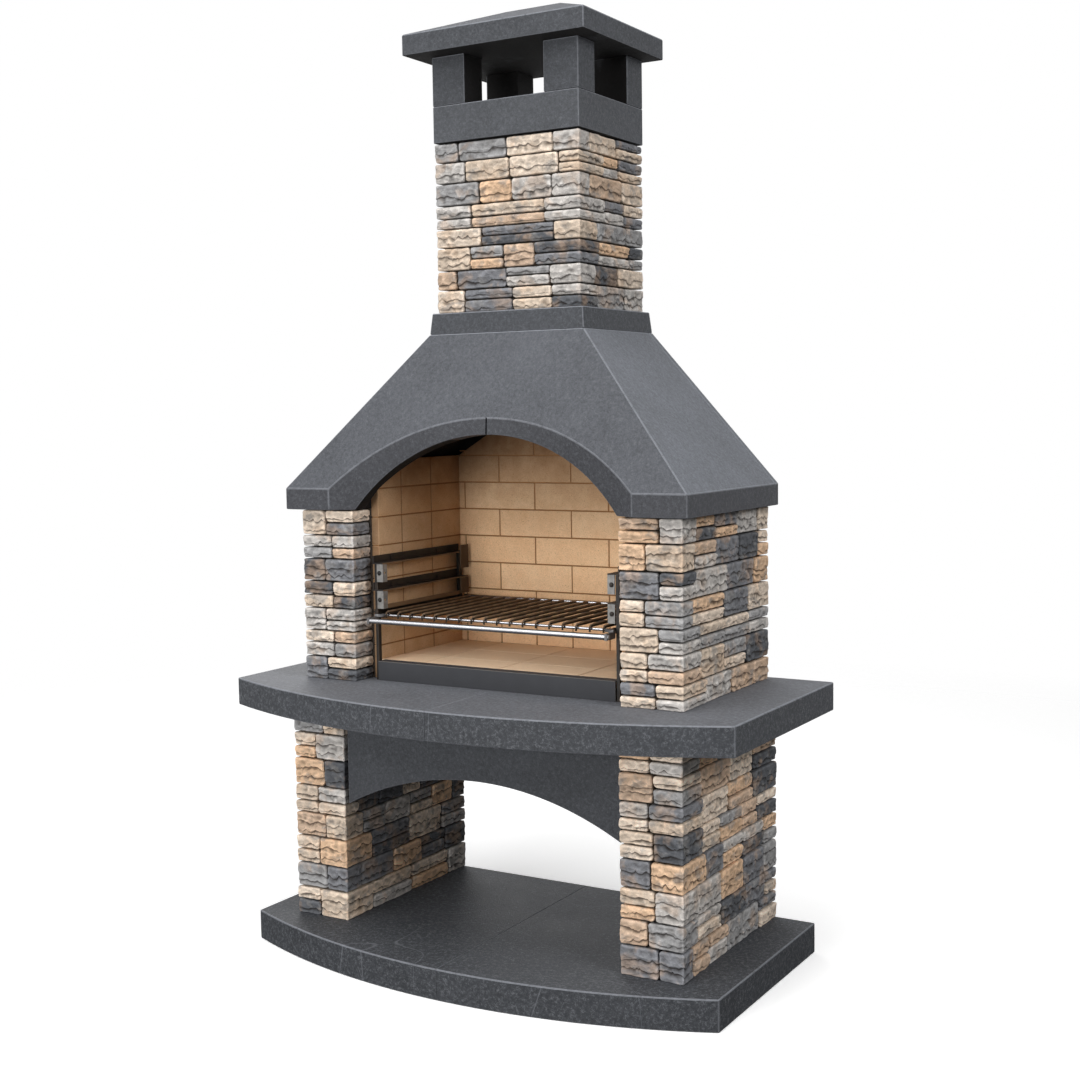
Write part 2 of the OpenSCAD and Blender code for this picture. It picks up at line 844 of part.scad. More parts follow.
// Plan of the front panel, mitred along the hood's hips
module hood_front_zone() {
    run = [hood_half - hood_top_half, hood_front - hood_top_front];
    corner = [hood_half, hood_front] + 0.2 * run;
    translate([0, 0, hood_z - bite])
        linear_extrude(hood_h + 2 * bite)
            polygon([
                corner,
                [hood_top_half, hood_top_front],
                [flue_half, throat_front],
                [-flue_half, throat_front],
                [-hood_top_half, hood_top_front],
                [-corner[0], corner[1]]
            ]);
}

// Points of the arch's two edges from the right foot over the crown to the left foot, as [x, z]
function arc_angle(half, r) = asin(half / r);
function arch_edge(half, r, mid_z, foot_z) = [
    for (i = [-splay_steps : splay_steps])
        let (a = arc_angle(half, r) * -i / splay_steps)
        [r * sin(a), mid_z + r * cos(a)]
];
inner_edge = arch_edge(arch_half, arch_in_r, arch_in_z);
outer_edge = arch_edge(splay_half, arch_out_r, arch_out_z);
function hood_face_y(z) = hood_front + front_slope * max(0, z - fascia_z);
crown_z = hood_z + arch_rise;
crown_y = hood_face_y(crown_z) + splay_crown_depth;
foot_y = hood_front + splay_foot_depth;
function splay_y(z) = foot_y + (crown_y - foot_y) * (z - hood_z) / arch_rise;

// Four rings of points: the outer edge ahead of the hood, the outer edge on its face, the inner
// edge, and the inner edge behind the panel, each closed below the hood's foot
under_z = hood_z - 20;
inner_ring = concat(
    [[arch_half, splay_y(under_z), under_z]],
    [for (p = inner_edge) [p[0], splay_y(p[1]), p[1]]],
    [[-arch_half, splay_y(under_z), under_z]]
);
face_ring = concat(
    [[splay_half, hood_front, under_z]],
    [for (p = outer_edge) [p[0], hood_face_y(p[1]), p[1]]],
    [[-splay_half, hood_front, under_z]]
);
ahead_ring = [for (p = face_ring) [p[0], hood_front - 20, p[2]]];
behind_ring = [for (p = inner_ring) [p[0], brick_back, p[2]]];

module arch_cutter() {
    m = len(inner_ring);
    side = [
        for (ring = [0 : 2])
            for (i = [0 : m - 1])
                let (a = ring * m + i, b = ring * m + (i + 1) % m)
                each [[a, b, b + m], [a, b + m, a + m]]
    ];
    polyhedron(
        points = concat(ahead_ring, face_ring, inner_ring, behind_ring),
        faces = concat(
            side,
            [[for (i = [m - 1 : -1 : 0]) i]],
            [[for (i = [0 : m - 1]) 3 * m + i]]
        )
    );
}

module hood_front_right() {
    color(concrete)
        difference() {
            right_half(0)
                intersection() {
                    hood_outside();
                    hood_front_zone();
                }
            hood_cavity();
            arch_cutter();
            block([-crown_joint / 2, -far, hood_z], [crown_joint / 2, far, splay_top]);
        }
}

module hood_side_right() {
    color(concrete)
        difference() {
            right_half(0) hood_outside();
            hood_cavity();
            hood_front_zone();
            block([-far, brick_back, hood_z - bite], [far, far, hood_top_z + bite]);
        }
}

module hood_rear() {
    color(concrete)
        intersection() {
            hood_outside();
            block([-far, brick_back, hood_z - bite], [far, far, hood_top_z + bite]);
        }
}

module flue_hole(z_low, z_high) {
    block([-flue_half, flue_front, z_low - bite], [flue_half, flue_back, z_high + bite]);
}

module hood_collar() {
    half_top = hood_top_half - collar_batter;
    color(concrete)
        difference() {
            intersection() {
                prism_y([
                    [-hood_top_half, hood_top_z],
                    [hood_top_half, hood_top_z],
                    [half_top, chimney_z],
                    [-half_top, chimney_z]
                ], hood_top_front, shell_back);
                prism_x([
                    [hood_top_front, hood_top_z],
                    [shell_back, hood_top_z],
                    [shell_back - collar_batter, chimney_z],
                    [hood_top_front + collar_batter, chimney_z]
                ], -hood_top_half, hood_top_half);
            }
            flue_hole(hood_top_z, chimney_z);
        }
}

module chimney_flue_blocks() {
    half = chimney_half - stone_t;
    color(block_grey)
        translate([0, 0, chimney_z])
            block_stack(chimney_h, flue_blocks)
                difference() {
                    translate([-half, chimney_front + stone_t]) square([2 * half, chimney_d - 2 * stone_t]);
                    translate([-flue_half, flue_front]) square([2 * flue_half, flue_back - flue_front]);
                }
}

module chimney_stones() {
    translate([-chimney_half, chimney_front, chimney_z])
        cladding(chimney_w, chimney_d, chimney_h, chimney_course, 501);
}

module chimney_top_ring() {
    color(concrete)
        difference() {
            block([-chimney_half, chimney_front, ring_z], [chimney_half, chimney_back, post_z]);
            flue_hole(ring_z, post_z);
        }
}

module cap_post(x, y) {
    color(concrete)
        block([x, y, post_z], [x + post_w, y + post_d, cap_z]);
}

module chimney_cap() {
    half = chimney_half + cap_lip_side;
    front = chimney_front - cap_lip_front;
    back = chimney_back + cap_lip_rear;
    middle = (front + back) / 2;
    eave = cap_z + cap_t;
    color(concrete)
        intersection() {
            prism_y([
                [-half, cap_z],
                [half, cap_z],
                [half, eave],
                [cap_ridge / 2, eave + cap_rise],
                [-cap_ridge / 2, eave + cap_rise],
                [-half, eave]
            ], front, back);
            prism_x([
                [front, cap_z],
                [back, cap_z],
                [back, eave],
                [middle, eave + cap_rise],
                [front, eave]
            ], -half, half);
        }
}

// A round rod from one point to another along Y, X or Z
module rod_y(x, z, y_low, y_high, r) {
    translate([x, y_high, z])
        rotate([90, 0, 0])
            cylinder(h = y_high - y_low, r = r);
}

module rod_x(y, z, half, r) {
    translate([-half, y, z])
        rotate([0, 90, 0])
            cylinder(h = 2 * half, r = r);
}

// Holder of one end of the handle bar: an arm on the frame's corner, and a plate from the arm to
// the bar, whose end goes through it
module handle_holder() {
    arm_low = frame_z - frame_rod / 2 + arm_inset;
    arm_high = frame_z + frame_rod / 2 - arm_inset;
    difference() {
        union() {
            block([bar_x - frame_rod, plate_back - arm_d, arm_low], [plate_out, plate_back, arm_high]);
            block([bar_x - frame_rod, plate_back - arm_d, arm_low], [bar_x, grill_front, arm_high]);
            block(
                [plate_out - handle_plate, handle_y - plate_half, handle_z - plate_half],
                [plate_out, plate_back, arm_low + rod_weld]
            );
        }
        translate([plate_out - handle_plate - bite, handle_y, handle_z])
            rotate([0, 90, 0])
                cylinder(h = handle_plate + 2 * bite, r = spigot_hole_r);
    }
}

module grill_frame() {
    r = frame_rod / 2;
    color(bright_steel)
        union() {
            for (side = [-1, 1])
                rod_y(side * bar_x, frame_z, grill_front - r, grill_back + r, r);
            for (i = [0 : cross_rods])
                rod_x(grill_front + grill_len * i / (cross_rods + 1), frame_z, bar_x, cross_rod / 2);
            rod_x(grill_back, rear_rod_z, bar_x + r, rear_rod / 2);
            handle_holder();
            on_left() handle_holder();
        }
}

// A wire: straight from the rear rod to the front one, over which it thins and turns down
module wire(x) {
    r = wire_rod / 2;
    thin = hook_rod / 2;
    hook_y = grill_front - hook_taper;
    hook_z = wire_z - hook_bend;
    rod_y(x, wire_z, grill_front, wire_back, r);
    translate([x, grill_front, wire_z])
        rotate([90, 0, 0])
            cylinder(h = hook_taper, r1 = r, r2 = thin);
    translate([x, hook_y, hook_z])
        rotate([90, 0, 90])
            rotate([0, 0, 90])
                rotate_extrude(angle = 90)
                    translate([hook_bend, 0])
                        circle(thin, $fn = 24);
    translate([x, hook_y - hook_bend, frame_z - wire_drop])
        cylinder(h = hook_z - frame_z + wire_drop, r = thin);
}

module grill_wires() {
    span = 2 * (bar_x - frame_rod - wire_rod);
    color(bright_steel)
        for (i = [0 : wires - 1])
            wire(-span / 2 + span * i / (wires - 1));
}

module grill_handle_bar() {
    color(bright_steel)
        union() {
            rod_x(handle_y, handle_z, plate_out - handle_plate, handle_dia / 2);
            rod_x(handle_y, handle_z, plate_out, handle_spigot / 2);
        }
}

module grill_handle_caps() {
    color(bright_steel)
        for (x = [-plate_out - handle_cap, plate_out])
            translate([x, handle_y, handle_z])
                rotate([0, 90, 0])
                    cylinder(h = handle_cap, r = handle_spigot / 2 + handle_cap_lip);
}

on_left() base_half_slab();  // base_slab_left
base_half_slab();  // base_slab_right
on_left() leg_blocks_right();  // leg_left_blocks
leg_blocks_right();  // leg_right_blocks
on_left() leg_stones_right(101);  // leg_left_stones
leg_stones_right(201);  // leg_right_stones
on_left() worktop_half_slab();  // worktop_left
worktop_half_slab();  // worktop_right
arched_apron();
on_left() pillar_blocks_right();  // pillar_left_blocks
pillar_blocks_right();  // pillar_right_blocks
on_left() pillar_stones_right(301);  // pillar_left_stones
pillar_stones_right(401);  // pillar_right_stones
chamber_rear_panel();
hearth_slab();
hearth_tiles();
on_left() lining_right();  // lining_left
lining_right();
lining_back();
sill_strip();
on_left() uprights_right();  // rack_left_uprights
uprights_right();  // rack_right_uprights
on_left() runners_right();  // rack_left_runners
runners_right();  // rack_right_runners
on_left() clips_right();  // rack_left_clips
clips_right();  // rack_right_clips
on_left() rear_plates_right();  // rack_left_rear_plates
rear_plates_right();  // rack_right_rear_plates
rack_screws();
on_left() hood_front_right();  // hood_front_left
hood_front_right();
on_left() hood_side_right();  // hood_side_left
hood_side_right();
hood_rear();
hood_collar();
chimney_flue_blocks();
chimney_stones();
chimney_top_ring();
cap_post(-chimney_half, chimney_front);  // cap_post_front_left
cap_post(chimney_half - post_w, chimney_front);  // cap_post_front_right
cap_post(-chimney_half, chimney_back - post_d);  // cap_post_rear_left
cap_post(chimney_half - post_w, chimney_back - post_d);  // cap_post_rear_right
chimney_cap();
grill_frame();
grill_wires();
grill_handle_bar();
grill_handle_caps();
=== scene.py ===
"""Masonry barbecue: rock-faced cladding stones, firebrick chamber, fibre-concrete slabs and hood,
steel racks and a chrome grill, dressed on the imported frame. Metres, +Z up, the front faces -Y."""
import itertools
import json
import math

import bmesh
import bpy
import numpy as np
from mathutils import Matrix, Vector


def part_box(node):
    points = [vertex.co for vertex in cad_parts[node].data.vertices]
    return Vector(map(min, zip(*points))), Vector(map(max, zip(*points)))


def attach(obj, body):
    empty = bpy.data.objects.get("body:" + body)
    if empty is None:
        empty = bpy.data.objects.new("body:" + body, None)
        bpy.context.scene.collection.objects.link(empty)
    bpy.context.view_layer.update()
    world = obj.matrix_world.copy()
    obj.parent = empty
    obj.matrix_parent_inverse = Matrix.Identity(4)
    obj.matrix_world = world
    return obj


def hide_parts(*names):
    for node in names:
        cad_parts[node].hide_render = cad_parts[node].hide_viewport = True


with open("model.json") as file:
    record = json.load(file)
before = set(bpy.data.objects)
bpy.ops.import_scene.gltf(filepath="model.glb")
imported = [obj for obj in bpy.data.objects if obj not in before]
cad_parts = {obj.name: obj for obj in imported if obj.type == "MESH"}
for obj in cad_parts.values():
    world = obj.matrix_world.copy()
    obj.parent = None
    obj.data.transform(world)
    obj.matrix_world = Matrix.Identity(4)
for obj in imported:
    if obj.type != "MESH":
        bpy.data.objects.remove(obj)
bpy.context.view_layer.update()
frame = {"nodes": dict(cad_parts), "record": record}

MM = 0.001
MASONRY = "masonry"
GRILL = "grill"
SEED = 20                      # of the random draws for the stones

# Reading the CAD nodes' meshes
POINT_GRID = 0.05              # in mm: points are taken to this grid, so that copies fall together
MERGE = 0.06 * MM              # points closer than this are merged
FLAT = math.radians(0.5)       # edges that bend less are dissolved

# Cladding stones
STONE_GRID = 3.9 * MM          # spacing of the grid on a stone's face
STONE_ROUND = 3.0 * MM         # rounding of a stone's edges
STONE_CORNER = 8 * MM          # rounding of a stone's outline
STONE_WANDER = 0.2 * MM        # its outline wanders this far to either side of its mean
STONE_DEEPEST = 11 * MM        # deepest hollow in a rock face
STONE_LEFT = 6 * MM            # thickness that is always left behind a hollow
BOWL_SIZE = (27 * MM, 16 * MM)  # length and height of the bowls in a rock face
TWO_LEDGES = 50 * MM           # a stone this high has two ledges
LEDGE_LIP = 0.7 * MM           # half the height over which a ledge steps back
LEDGE_STEP = 5.5 * MM          # how far the largest ledge steps back
LEDGE_FADE = 11 * MM           # below the ledge the step fades over about this height
LEDGE_MARK = 2.6 * MM          # its painted shade under it and painted highlight on its lip fade over about this height
RIM_MARK = 2.6 * MM            # and so does the painted highlight, partly wear, just inside a stone's rim
STONE_GAP = 6 * MM             # a stone's face lies closer than this to its wall's box
# The walls of stones, and how light each is painted: the legs' lighter against the shade under the
# worktop and the chimney's darker, as painted light
STONE_NODES = {"leg_left_stones": 1.1, "leg_right_stones": 1.1, "pillar_left_stones": 1.0,
               "pillar_right_stones": 1.0, "chimney_stones": 0.88}

# Rounded edges
SLAB_EDGE = 3 * MM             # of the base slab and the worktop
PANEL_EDGE = 2.4 * MM          # of the other concrete pieces
BRICK_EDGE = 0.9 * MM
PLATE_EDGE = 0.6 * MM          # of the sill and the rack's clips
STEEL_EDGE = 0.5 * MM          # of the rack's bars and the handle's caps
# How strongly a rounded edge is painted, by how far it looks up: a painted highlight, partly wear,
# on most finishes and painted shade on firebrick
EDGE_SLOPES, EDGE_LIGHT = (-0.6, -0.1, 0.1, 0.5), (0.12, 0.5, 0.55, 1.0)

# The seam between a slab's or the hood's two halves
SEAM_REACH = 2.5 * MM          # an edge this close to x = 0 is in it
SEAM_BEVEL = 0.5 * MM          # rounding of its edges
FILLER_PLAY = 0.02 * MM        # how far its sealant stays off the slab on each side
FILLER_DEPTH = 3 * MM          # how far the sealant lies behind the slab's edges
FILLER_CUT = 5 * MM            # how much is cut off the sealant's corners

# Firebricks
TONE_CELL = 40 * MM            # a face takes its tone from the cell of this size that it lies in
BRICK_JOINT = 3 * MM           # width of the joints between bricks
MORTAR_DEPTH = 1.5 * MM        # how far the mortar lies behind their faces
MORTAR_LEAST = 0.5 * MM        # thinner bars of mortar are left out
HOOD_SHADE = (0.96, 1.20)          # painted shade under the hood darkens the bricks between these heights

# The rack and the grill
RUNNER_LIP = 1.6 * MM          # how far a runner's lip is painted bronze from its inner edge: wear and a painted highlight
FRONT_RODS = 20 * MM           # the grill's front rods lie within this of the wires' front
REAR_ROD = 3 * MM              # and its rear rod within this of their rear
ROD_SHARP = 35.0               # edges of rods that bend less, in degrees, look smooth

# The bolt heads on the rack's clips: radii as shares of the washer's, and heights
BOLT_RADIUS = 5.6 * MM
BOLT_PROFILE = ((0.6, -3.0 * MM), (0.6, 0.0), (1.0, 0.0), (1.0, 0.9 * MM), (0.86, 0.9 * MM),
                (0.84, 1.8 * MM), (0.66, 2.9 * MM), (0.36, 3.6 * MM))
BOLT_STEPS = 20                # faces round a bolt head
HOLE_RIM = 1.5 * MM            # a clip's hole lies further than this from its inner edge
HOLE_REACH = 6 * MM            # and its points lie closer than this to the clip's mid height


def srgb(r, g, b):
    """A colour as it looks on screen, 0 to 255, turned into the linear value that shaders take."""
    screen = np.array([r, g, b]) / 255
    linear = np.where(screen <= 0.04045, screen / 12.92, ((screen + 0.055) / 1.055) ** 2.4)
    return (*map(float, linear), 1.0)


# Shader maths

class Value:
    """A socket of a node, with the operators that its maths uses."""

    def __init__(self, tree, socket):
        self.tree = tree
        self.socket = socket

    def math(self, operation, *others):
        return self.tree.node("ShaderNodeMath", {"operation": operation}, [self, *others])

    def __add__(self, other):
        return self.math("ADD", other)

    def __radd__(self, other):
        return self.tree.node("ShaderNodeMath", {"operation": "ADD"}, [other, self])

    def __sub__(self, other):
        return self.math("SUBTRACT", other)

    def __rsub__(self, other):
        return self.tree.node("ShaderNodeMath", {"operation": "SUBTRACT"}, [other, self])

    def __mul__(self, other):
        return self.math("MULTIPLY", other)

    def __rmul__(self, other):
        return self.tree.node("ShaderNodeMath", {"operation": "MULTIPLY"}, [other, self])

    def above(self, low, high):
        """0 below low and 1 above high, with an even slope between them."""
        values = {"Value": self, "From Min": low, "From Max": high}
        return self.tree.node("ShaderNodeMapRange", {"clamp": True}, values)


class Nodes:
    """The nodes of a material or of the world, all made by node()."""

    def __init__(self, owner):
        owner.use_nodes = True
        self.nodes = owner.node_tree.nodes
        self.links = owner.node_tree.links

    def node(self, kind, settings=None, values=None, output=0):
        """Adds a node of that type. settings are its properties, a ramp's stops among them, and
        values its sockets by name or by order."""
        node = self.nodes.new(kind)
        for key, value in (settings or {}).items():
            if key == "stops":
                stops = node.color_ramp.elements
                while len(stops) < len(value):
                    stops.new(1.0)
                for stop, (place, colour) in zip(stops, value):
                    stop.position = place
                    stop.color = colour
            elif key == "interpolation":
                node.color_ramp.interpolation = value
            else:
                setattr(node, key, value)
        named = values.items() if isinstance(values, dict) else enumerate(values or [])
        for key, value in named:
            socket = node.inputs[key]
            if isinstance(value, Value):
                self.links.new(value.socket, socket)
            else:
                socket.default_value = value
        return Value(self, node.outputs[output])


class Finish(Nodes):
    """A material that ends in one Principled shader, with the patterns that the finishes share."""

    def __init__(self, name, roughness=0.6, metallic=0.0, specular=0.5):
        self.material = bpy.data.materials.new(name)
        super().__init__(self.material)
        self.shader = self.nodes["Principled BSDF"]
        self.shader.inputs["Roughness"].default_value = roughness
        self.shader.inputs["Metallic"].default_value = metallic
        self.shader.inputs["Specular IOR Level"].default_value = specular

    def place(self, scale=(1, 1, 1), turn=(0, 0, 0)):
        """Object coordinates in metres, scaled and turned."""
        where = self.node("ShaderNodeTexCoord", output="Object")
        values = {"Vector": where, "Scale": scale, "Rotation": turn}
        return self.node("ShaderNodeMapping", {}, values)

    def noise(self, where, scale, detail=3.0, rough=0.5, distortion=0.0):
        values = {"Vector": where, "Scale": scale, "Detail": detail, "Roughness": rough,
                  "Distortion": distortion}
        return self.node("ShaderNodeTexNoise", {}, values)

    def bent(self, where, scale, reach):
        """Coordinates that a noise moves about, by up to the reach."""
        values = {"Vector": where, "Scale": scale, "Detail": 2.0}
        drift = self.node("ShaderNodeTexNoise", {}, values, "Color")
        settings = {"operation": "MULTIPLY_ADD"}
        return self.node("ShaderNodeVectorMath", settings, [drift, (reach,) * 3, where])

    def cells(self, where, scale, output="Distance"):
        """Cells round scattered points: the distance to the nearest one, or a colour for each."""
        values = {"Vector": where, "Scale": scale}
        return self.node("ShaderNodeTexVoronoi", {"feature": "F1"}, values, output)

    def attribute(self, name):
        return self.node("ShaderNodeAttribute", {"attribute_name": name}, output="Fac")

    def mix(self, share, first, second, blend="MIX"):
        """Mixes two colours. Several of the node's sockets share a name, so they go by order."""
        settings = {"data_type": "RGBA", "blend_type": blend}
        return self.node("ShaderNodeMix", settings, {0: share, 6: first, 7: second}, output=2)

    def scaled(self, colour, factor):
        """A colour times a number."""
        grey = self.node("ShaderNodeCombineColor", {}, [factor, factor, factor])
        return self.mix(1.0, colour, grey, "MULTIPLY")

    def contour(self, value, level, width):
        """1 along the lines where a value passes a level, 0 further from it than the width."""
        return 1 - (value - level).math("ABSOLUTE").above(width * 0.3, width)

    def steps(self, value, stops):
        """One of the stops' colours, without a blend between them."""
        settings = {"stops": stops, "interpolation": "CONSTANT"}
        return self.node("ShaderNodeValToRGB", settings, [value])

    def bump(self, height, distance, strength):
        values = {"Height": height, "Distance": distance, "Strength": strength}
        return self.node("ShaderNodeBump", {}, values)

    def wear(self, **sockets):
        """Links values to the shader's sockets, such as Base_Color, and returns the material."""
        for name, value in sockets.items():
            self.links.new(value.socket, self.shader.inputs[name.replace("_", " ")])
        return self.material


# Finishes

STONE_TONES = (
    (0.00, srgb(226, 209, 191)),
    (0.14, srgb(212, 194, 175)),
    (0.28, srgb(223, 189, 157)),
    (0.42, srgb(196, 191, 186)),
    (0.56, srgb(160, 159, 159)),
    (0.68, srgb(203, 177, 154)),
    (0.79, srgb(126, 127, 131)),
    (0.90, srgb(93, 95, 99)),
)


def stone_finish():
    """Rock-faced cast stone: one tone a stone, stained in patches, with painted highlights on its
    ridges, rims and ledge lips, painted shade in its hollows and under its ledges, each chipped
    facet and each wall painted lighter or darker, with sandy grain and small chips."""
    f = Finish("cladding stone", roughness=0.88, specular=0.2)
    relief = f.attribute("relief")
    where = f.place()
    base = f.steps(f.attribute("tone"), STONE_TONES)
    cloud = f.noise(where, 30.0, 4.0, 0.6)
    grain = f.noise(where, 400.0, 4.0, 0.75)
    tan = f.noise(where, 17.0, 3.0, 0.55, 0.5).above(0.51, 0.63) * 0.65
    grey = f.noise(f.place((1, 1, 1.4), (0.4, 0.8, 0.2)), 22.0, 3.0, 0.6).above(0.54, 0.64) * 0.6
    stained = f.mix(tan, base, f.mix(0.5, base, srgb(208, 172, 138)))
    stained = f.mix(grey, stained, srgb(140, 138, 136))
    chips = f.bent(f.place((1, 1, 1.4)), 60.0, 0.016)
    chip = f.cells(chips, 70.0)
    # Each chipped facet is painted a little lighter or darker, painted shade for its tilt to the
    # light
    facet_shade = f.node("ShaderNodeSeparateColor", {}, [f.cells(chips, 70.0, "Color")])
    # Painted highlight where the relief shade is high, and painted shade, turned brown, where it is
    # low
    ridge_highlight = relief.above(0.05, 0.9)
    hollow_shade = (0 - relief).above(0.05, 0.9)
    mottled = 0.62 + cloud * 0.54 + (grain - 0.5) * 0.6 + (facet_shade - 0.5) * 0.24
    # Each wall's painted lightness makes its stones lighter or darker: painted light
    level = f.attribute("lightness") * mottled * (1 + ridge_highlight * 0.5) * (1 - hollow_shade * 0.66)
    lit = f.scaled(stained, level)
    height = chip * chip * 1.4 + cloud * 0.5 + f.noise(where, 150.0, 4.0, 0.65) * 0.6
    return f.wear(Base_Color=f.mix(hollow_shade * 0.3, lit, srgb(62, 49, 39)),
                  Normal=f.bump(height + grain * 0.2, 0.0026, 0.8))


def concrete_finish(name, body, top_lit, curl, curls_share, scratches=0.0):
    """Anthracite fibre concrete: short curled fibres along the contours of two noises, a fine
    light and dark grain and faint cloudy patches, painted top light that makes faces that look up
    paler, dark with soot, with arrises rubbed light and given a painted highlight where they look
    up, and long fine scratches where asked."""
    worn_and_lit = srgb(150, 153, 160)
    f = Finish(name, roughness=0.75, specular=0.2)
    where = f.place()
    cloud = f.noise(where, 6.0, 4.0, 0.6)
    blotch = f.noise(where, 55.0, 3.0, 0.6)
    sand = f.noise(where, 280.0, 3.0, 0.8)
    grit = f.noise(f.place(turn=(0.5, 0.9, 0.2)), 120.0, 2.0, 0.6)
    curls = f.contour(f.noise(where, 100.0, 1.5, 0.5, 1.0), 0.5, 0.04)
    more = f.contour(f.noise(f.place(turn=(1.1, 0.4, 0.7)), 130.0, 1.0, 0.5, 1.0), 0.48, 0.04)
    curls = curls.math("MAXIMUM", more) * grit.above(0.42, 0.62)
    # Painted top light: faces that look up take the paler top_lit colour
    base = f.mix(f.attribute("dust"), body, top_lit)
    level = 0.58 + cloud * 0.6 + blotch * 0.24 + (sand - 0.5) * 1.5 + (grit - 0.5) * 0.7
    base = f.scaled(base, level)
    base = f.mix(curls * curls_share, base, curl)
    if scratches:
        line = f.contour(f.noise(f.place((1, 1, 0.2)), 2.6, 1.0, 0.4, 0.3), 0.5, 0.0012)
        base = f.mix(line * scratches, base, worn_and_lit)
    # Rubbed and lit edges: wear and a painted highlight, strongest on edges that look up
    rubbed = f.attribute("edge") * f.noise(where, 70.0, 4.0, 0.7).above(0.15, 0.5)
    coloured = f.mix(rubbed * 0.62, base, worn_and_lit)
    sooty = f.attribute("soot") * f.noise(where, 9.0, 4.0, 0.6).above(0.05, 0.4)
    coloured = f.mix(sooty, coloured, srgb(20, 18, 17))
    gloss = 0.56 + cloud * 0.2 + (sand - 0.5) * 0.3 + sooty * 0.2
    height = blotch * 0.4 + sand * 0.5 + curls * 0.5
    return f.wear(Base_Color=coloured, Roughness=gloss, Normal=f.bump(height, 0.0009, 0.8))


def brick_finish():
    """Buff firebrick: sandy, speckled brown, each brick a little lighter or darker, with painted
    shade on its edges, painted brown shade towards the hood and on the side walls, and pale with
    ash on the hearth."""
    f = Finish("firebrick", roughness=0.92, specular=0.15)
    where = f.place()
    cloud = f.noise(where, 20.0, 4.0, 0.6)
    sand = f.noise(where, 420.0, 4.0, 0.75)
    specks = 1 - f.cells(where, 210.0).above(0.14, 0.28)
    some = f.noise(where, 150.0, 2.0, 0.5).above(0.48, 0.6)
    base = f.mix(f.attribute("tone"), srgb(240, 198, 154), srgb(250, 216, 176))
    base = f.mix(cloud.above(0.35, 0.75) * 0.5, base, srgb(226, 178, 132))
    base = f.mix(specks * some * 0.5, base, srgb(126, 88, 54))
    # Painted shade along the bricks' rounded edges, most on those that look up
    base = f.mix(f.attribute("edge") * 0.3, base, srgb(150, 110, 72))
    base = f.scaled(base, 1 + (sand - 0.5) * 0.9)
    level = f.node("ShaderNodeSeparateXYZ", {}, [where], "Z")
    # Painted shade: brown and darker towards the hood, and on the side walls by their smoked
    brick_shade = level.above(*HOOD_SHADE) * (0.75 + cloud * 0.4)
    brick_shade = brick_shade.math("MAXIMUM", f.attribute("smoked") * (0.8 + cloud * 0.3))
    base = f.mix(brick_shade * 0.85, base, srgb(96, 64, 38))
    base = f.mix(f.attribute("ash"), base, srgb(255, 232, 205))
    return f.wear(Base_Color=base, Normal=f.bump(sand * 0.8 + cloud * 0.4, 0.0008, 0.9))


def mortar_finish():
    """Brown refractory mortar, sandy and rough."""
    f = Finish("refractory mortar", roughness=0.95, specular=0.2)
    where = f.place()
    sand = f.noise(where, 500.0, 3.0, 0.7)
    base = f.mix(f.noise(where, 30.0, 3.0, 0.6), srgb(128, 92, 60), srgb(158, 118, 80))
    base = f.mix(sand.above(0.5, 0.75) * 0.5, base, srgb(98, 68, 44))
    return f.wear(Base_Color=base, Normal=f.bump(sand, 0.0008, 0.9))


def block_finish():
    """Plain cast blocks behind the cladding, dark in the joints."""
    f = Finish("core block", roughness=0.95, specular=0.2)
    sand = f.noise(f.place(), 350.0, 3.0, 0.7)
    base = f.mix(sand.above(0.3, 0.7), srgb(50, 44, 40), srgb(84, 76, 68))
    return f.wear(Base_Color=base, Normal=f.bump(sand, 0.001, 0.8))


def black_steel_finish():
    """Black heat-proof paint on steel, browned by heat in patches, bronze where it is rubbed and
    lit (wear and a painted highlight), and with painted highlights on its rounded edges.
    """
    f = Finish("black steel", roughness=0.5, specular=0.3)
    where = f.place()
    heat = f.noise(where, 26.0, 4.0, 0.6)
    fine = f.noise(where, 480.0, 2.0, 0.6)
    base = f.mix(heat.above(0.42, 0.72) * 0.6, srgb(26, 24, 23), srgb(58, 46, 36))
    # Bronze: wear and a painted highlight on the runners' lips, a painted reflection on the rear
    # plates
    base = f.mix(f.attribute("rubbed") * (0.55 + heat * 0.6), base, srgb(112, 88, 64))
    # Painted highlight on the rounded edges
    base = f.mix(f.attribute("edge") * 0.5, base, srgb(134, 112, 88))
    return f.wear(Base_Color=base, Roughness=0.4 + fine * 0.25, Normal=f.bump(fine, 0.0003, 0.5))


def sill_finish():
    """Smooth matt black paint over folded sheet, with a painted highlight along its fold."""
    f = Finish("sill paint", roughness=0.55, specular=0.25)
    where = f.place()
    cloud = f.noise(where, 12.0, 3.0, 0.6)
    fine = f.noise(where, 420.0, 2.0, 0.6)
    base = f.mix(cloud, srgb(51, 52, 55), srgb(63, 64, 68))
    # Painted highlight on the rounded fold, most where it looks up
    base = f.mix(f.attribute("edge") * 0.7, base, srgb(140, 136, 130))
    return f.wear(Base_Color=base, Roughness=0.46 + fine * 0.2, Normal=f.bump(fine, 0.0002, 0.4))


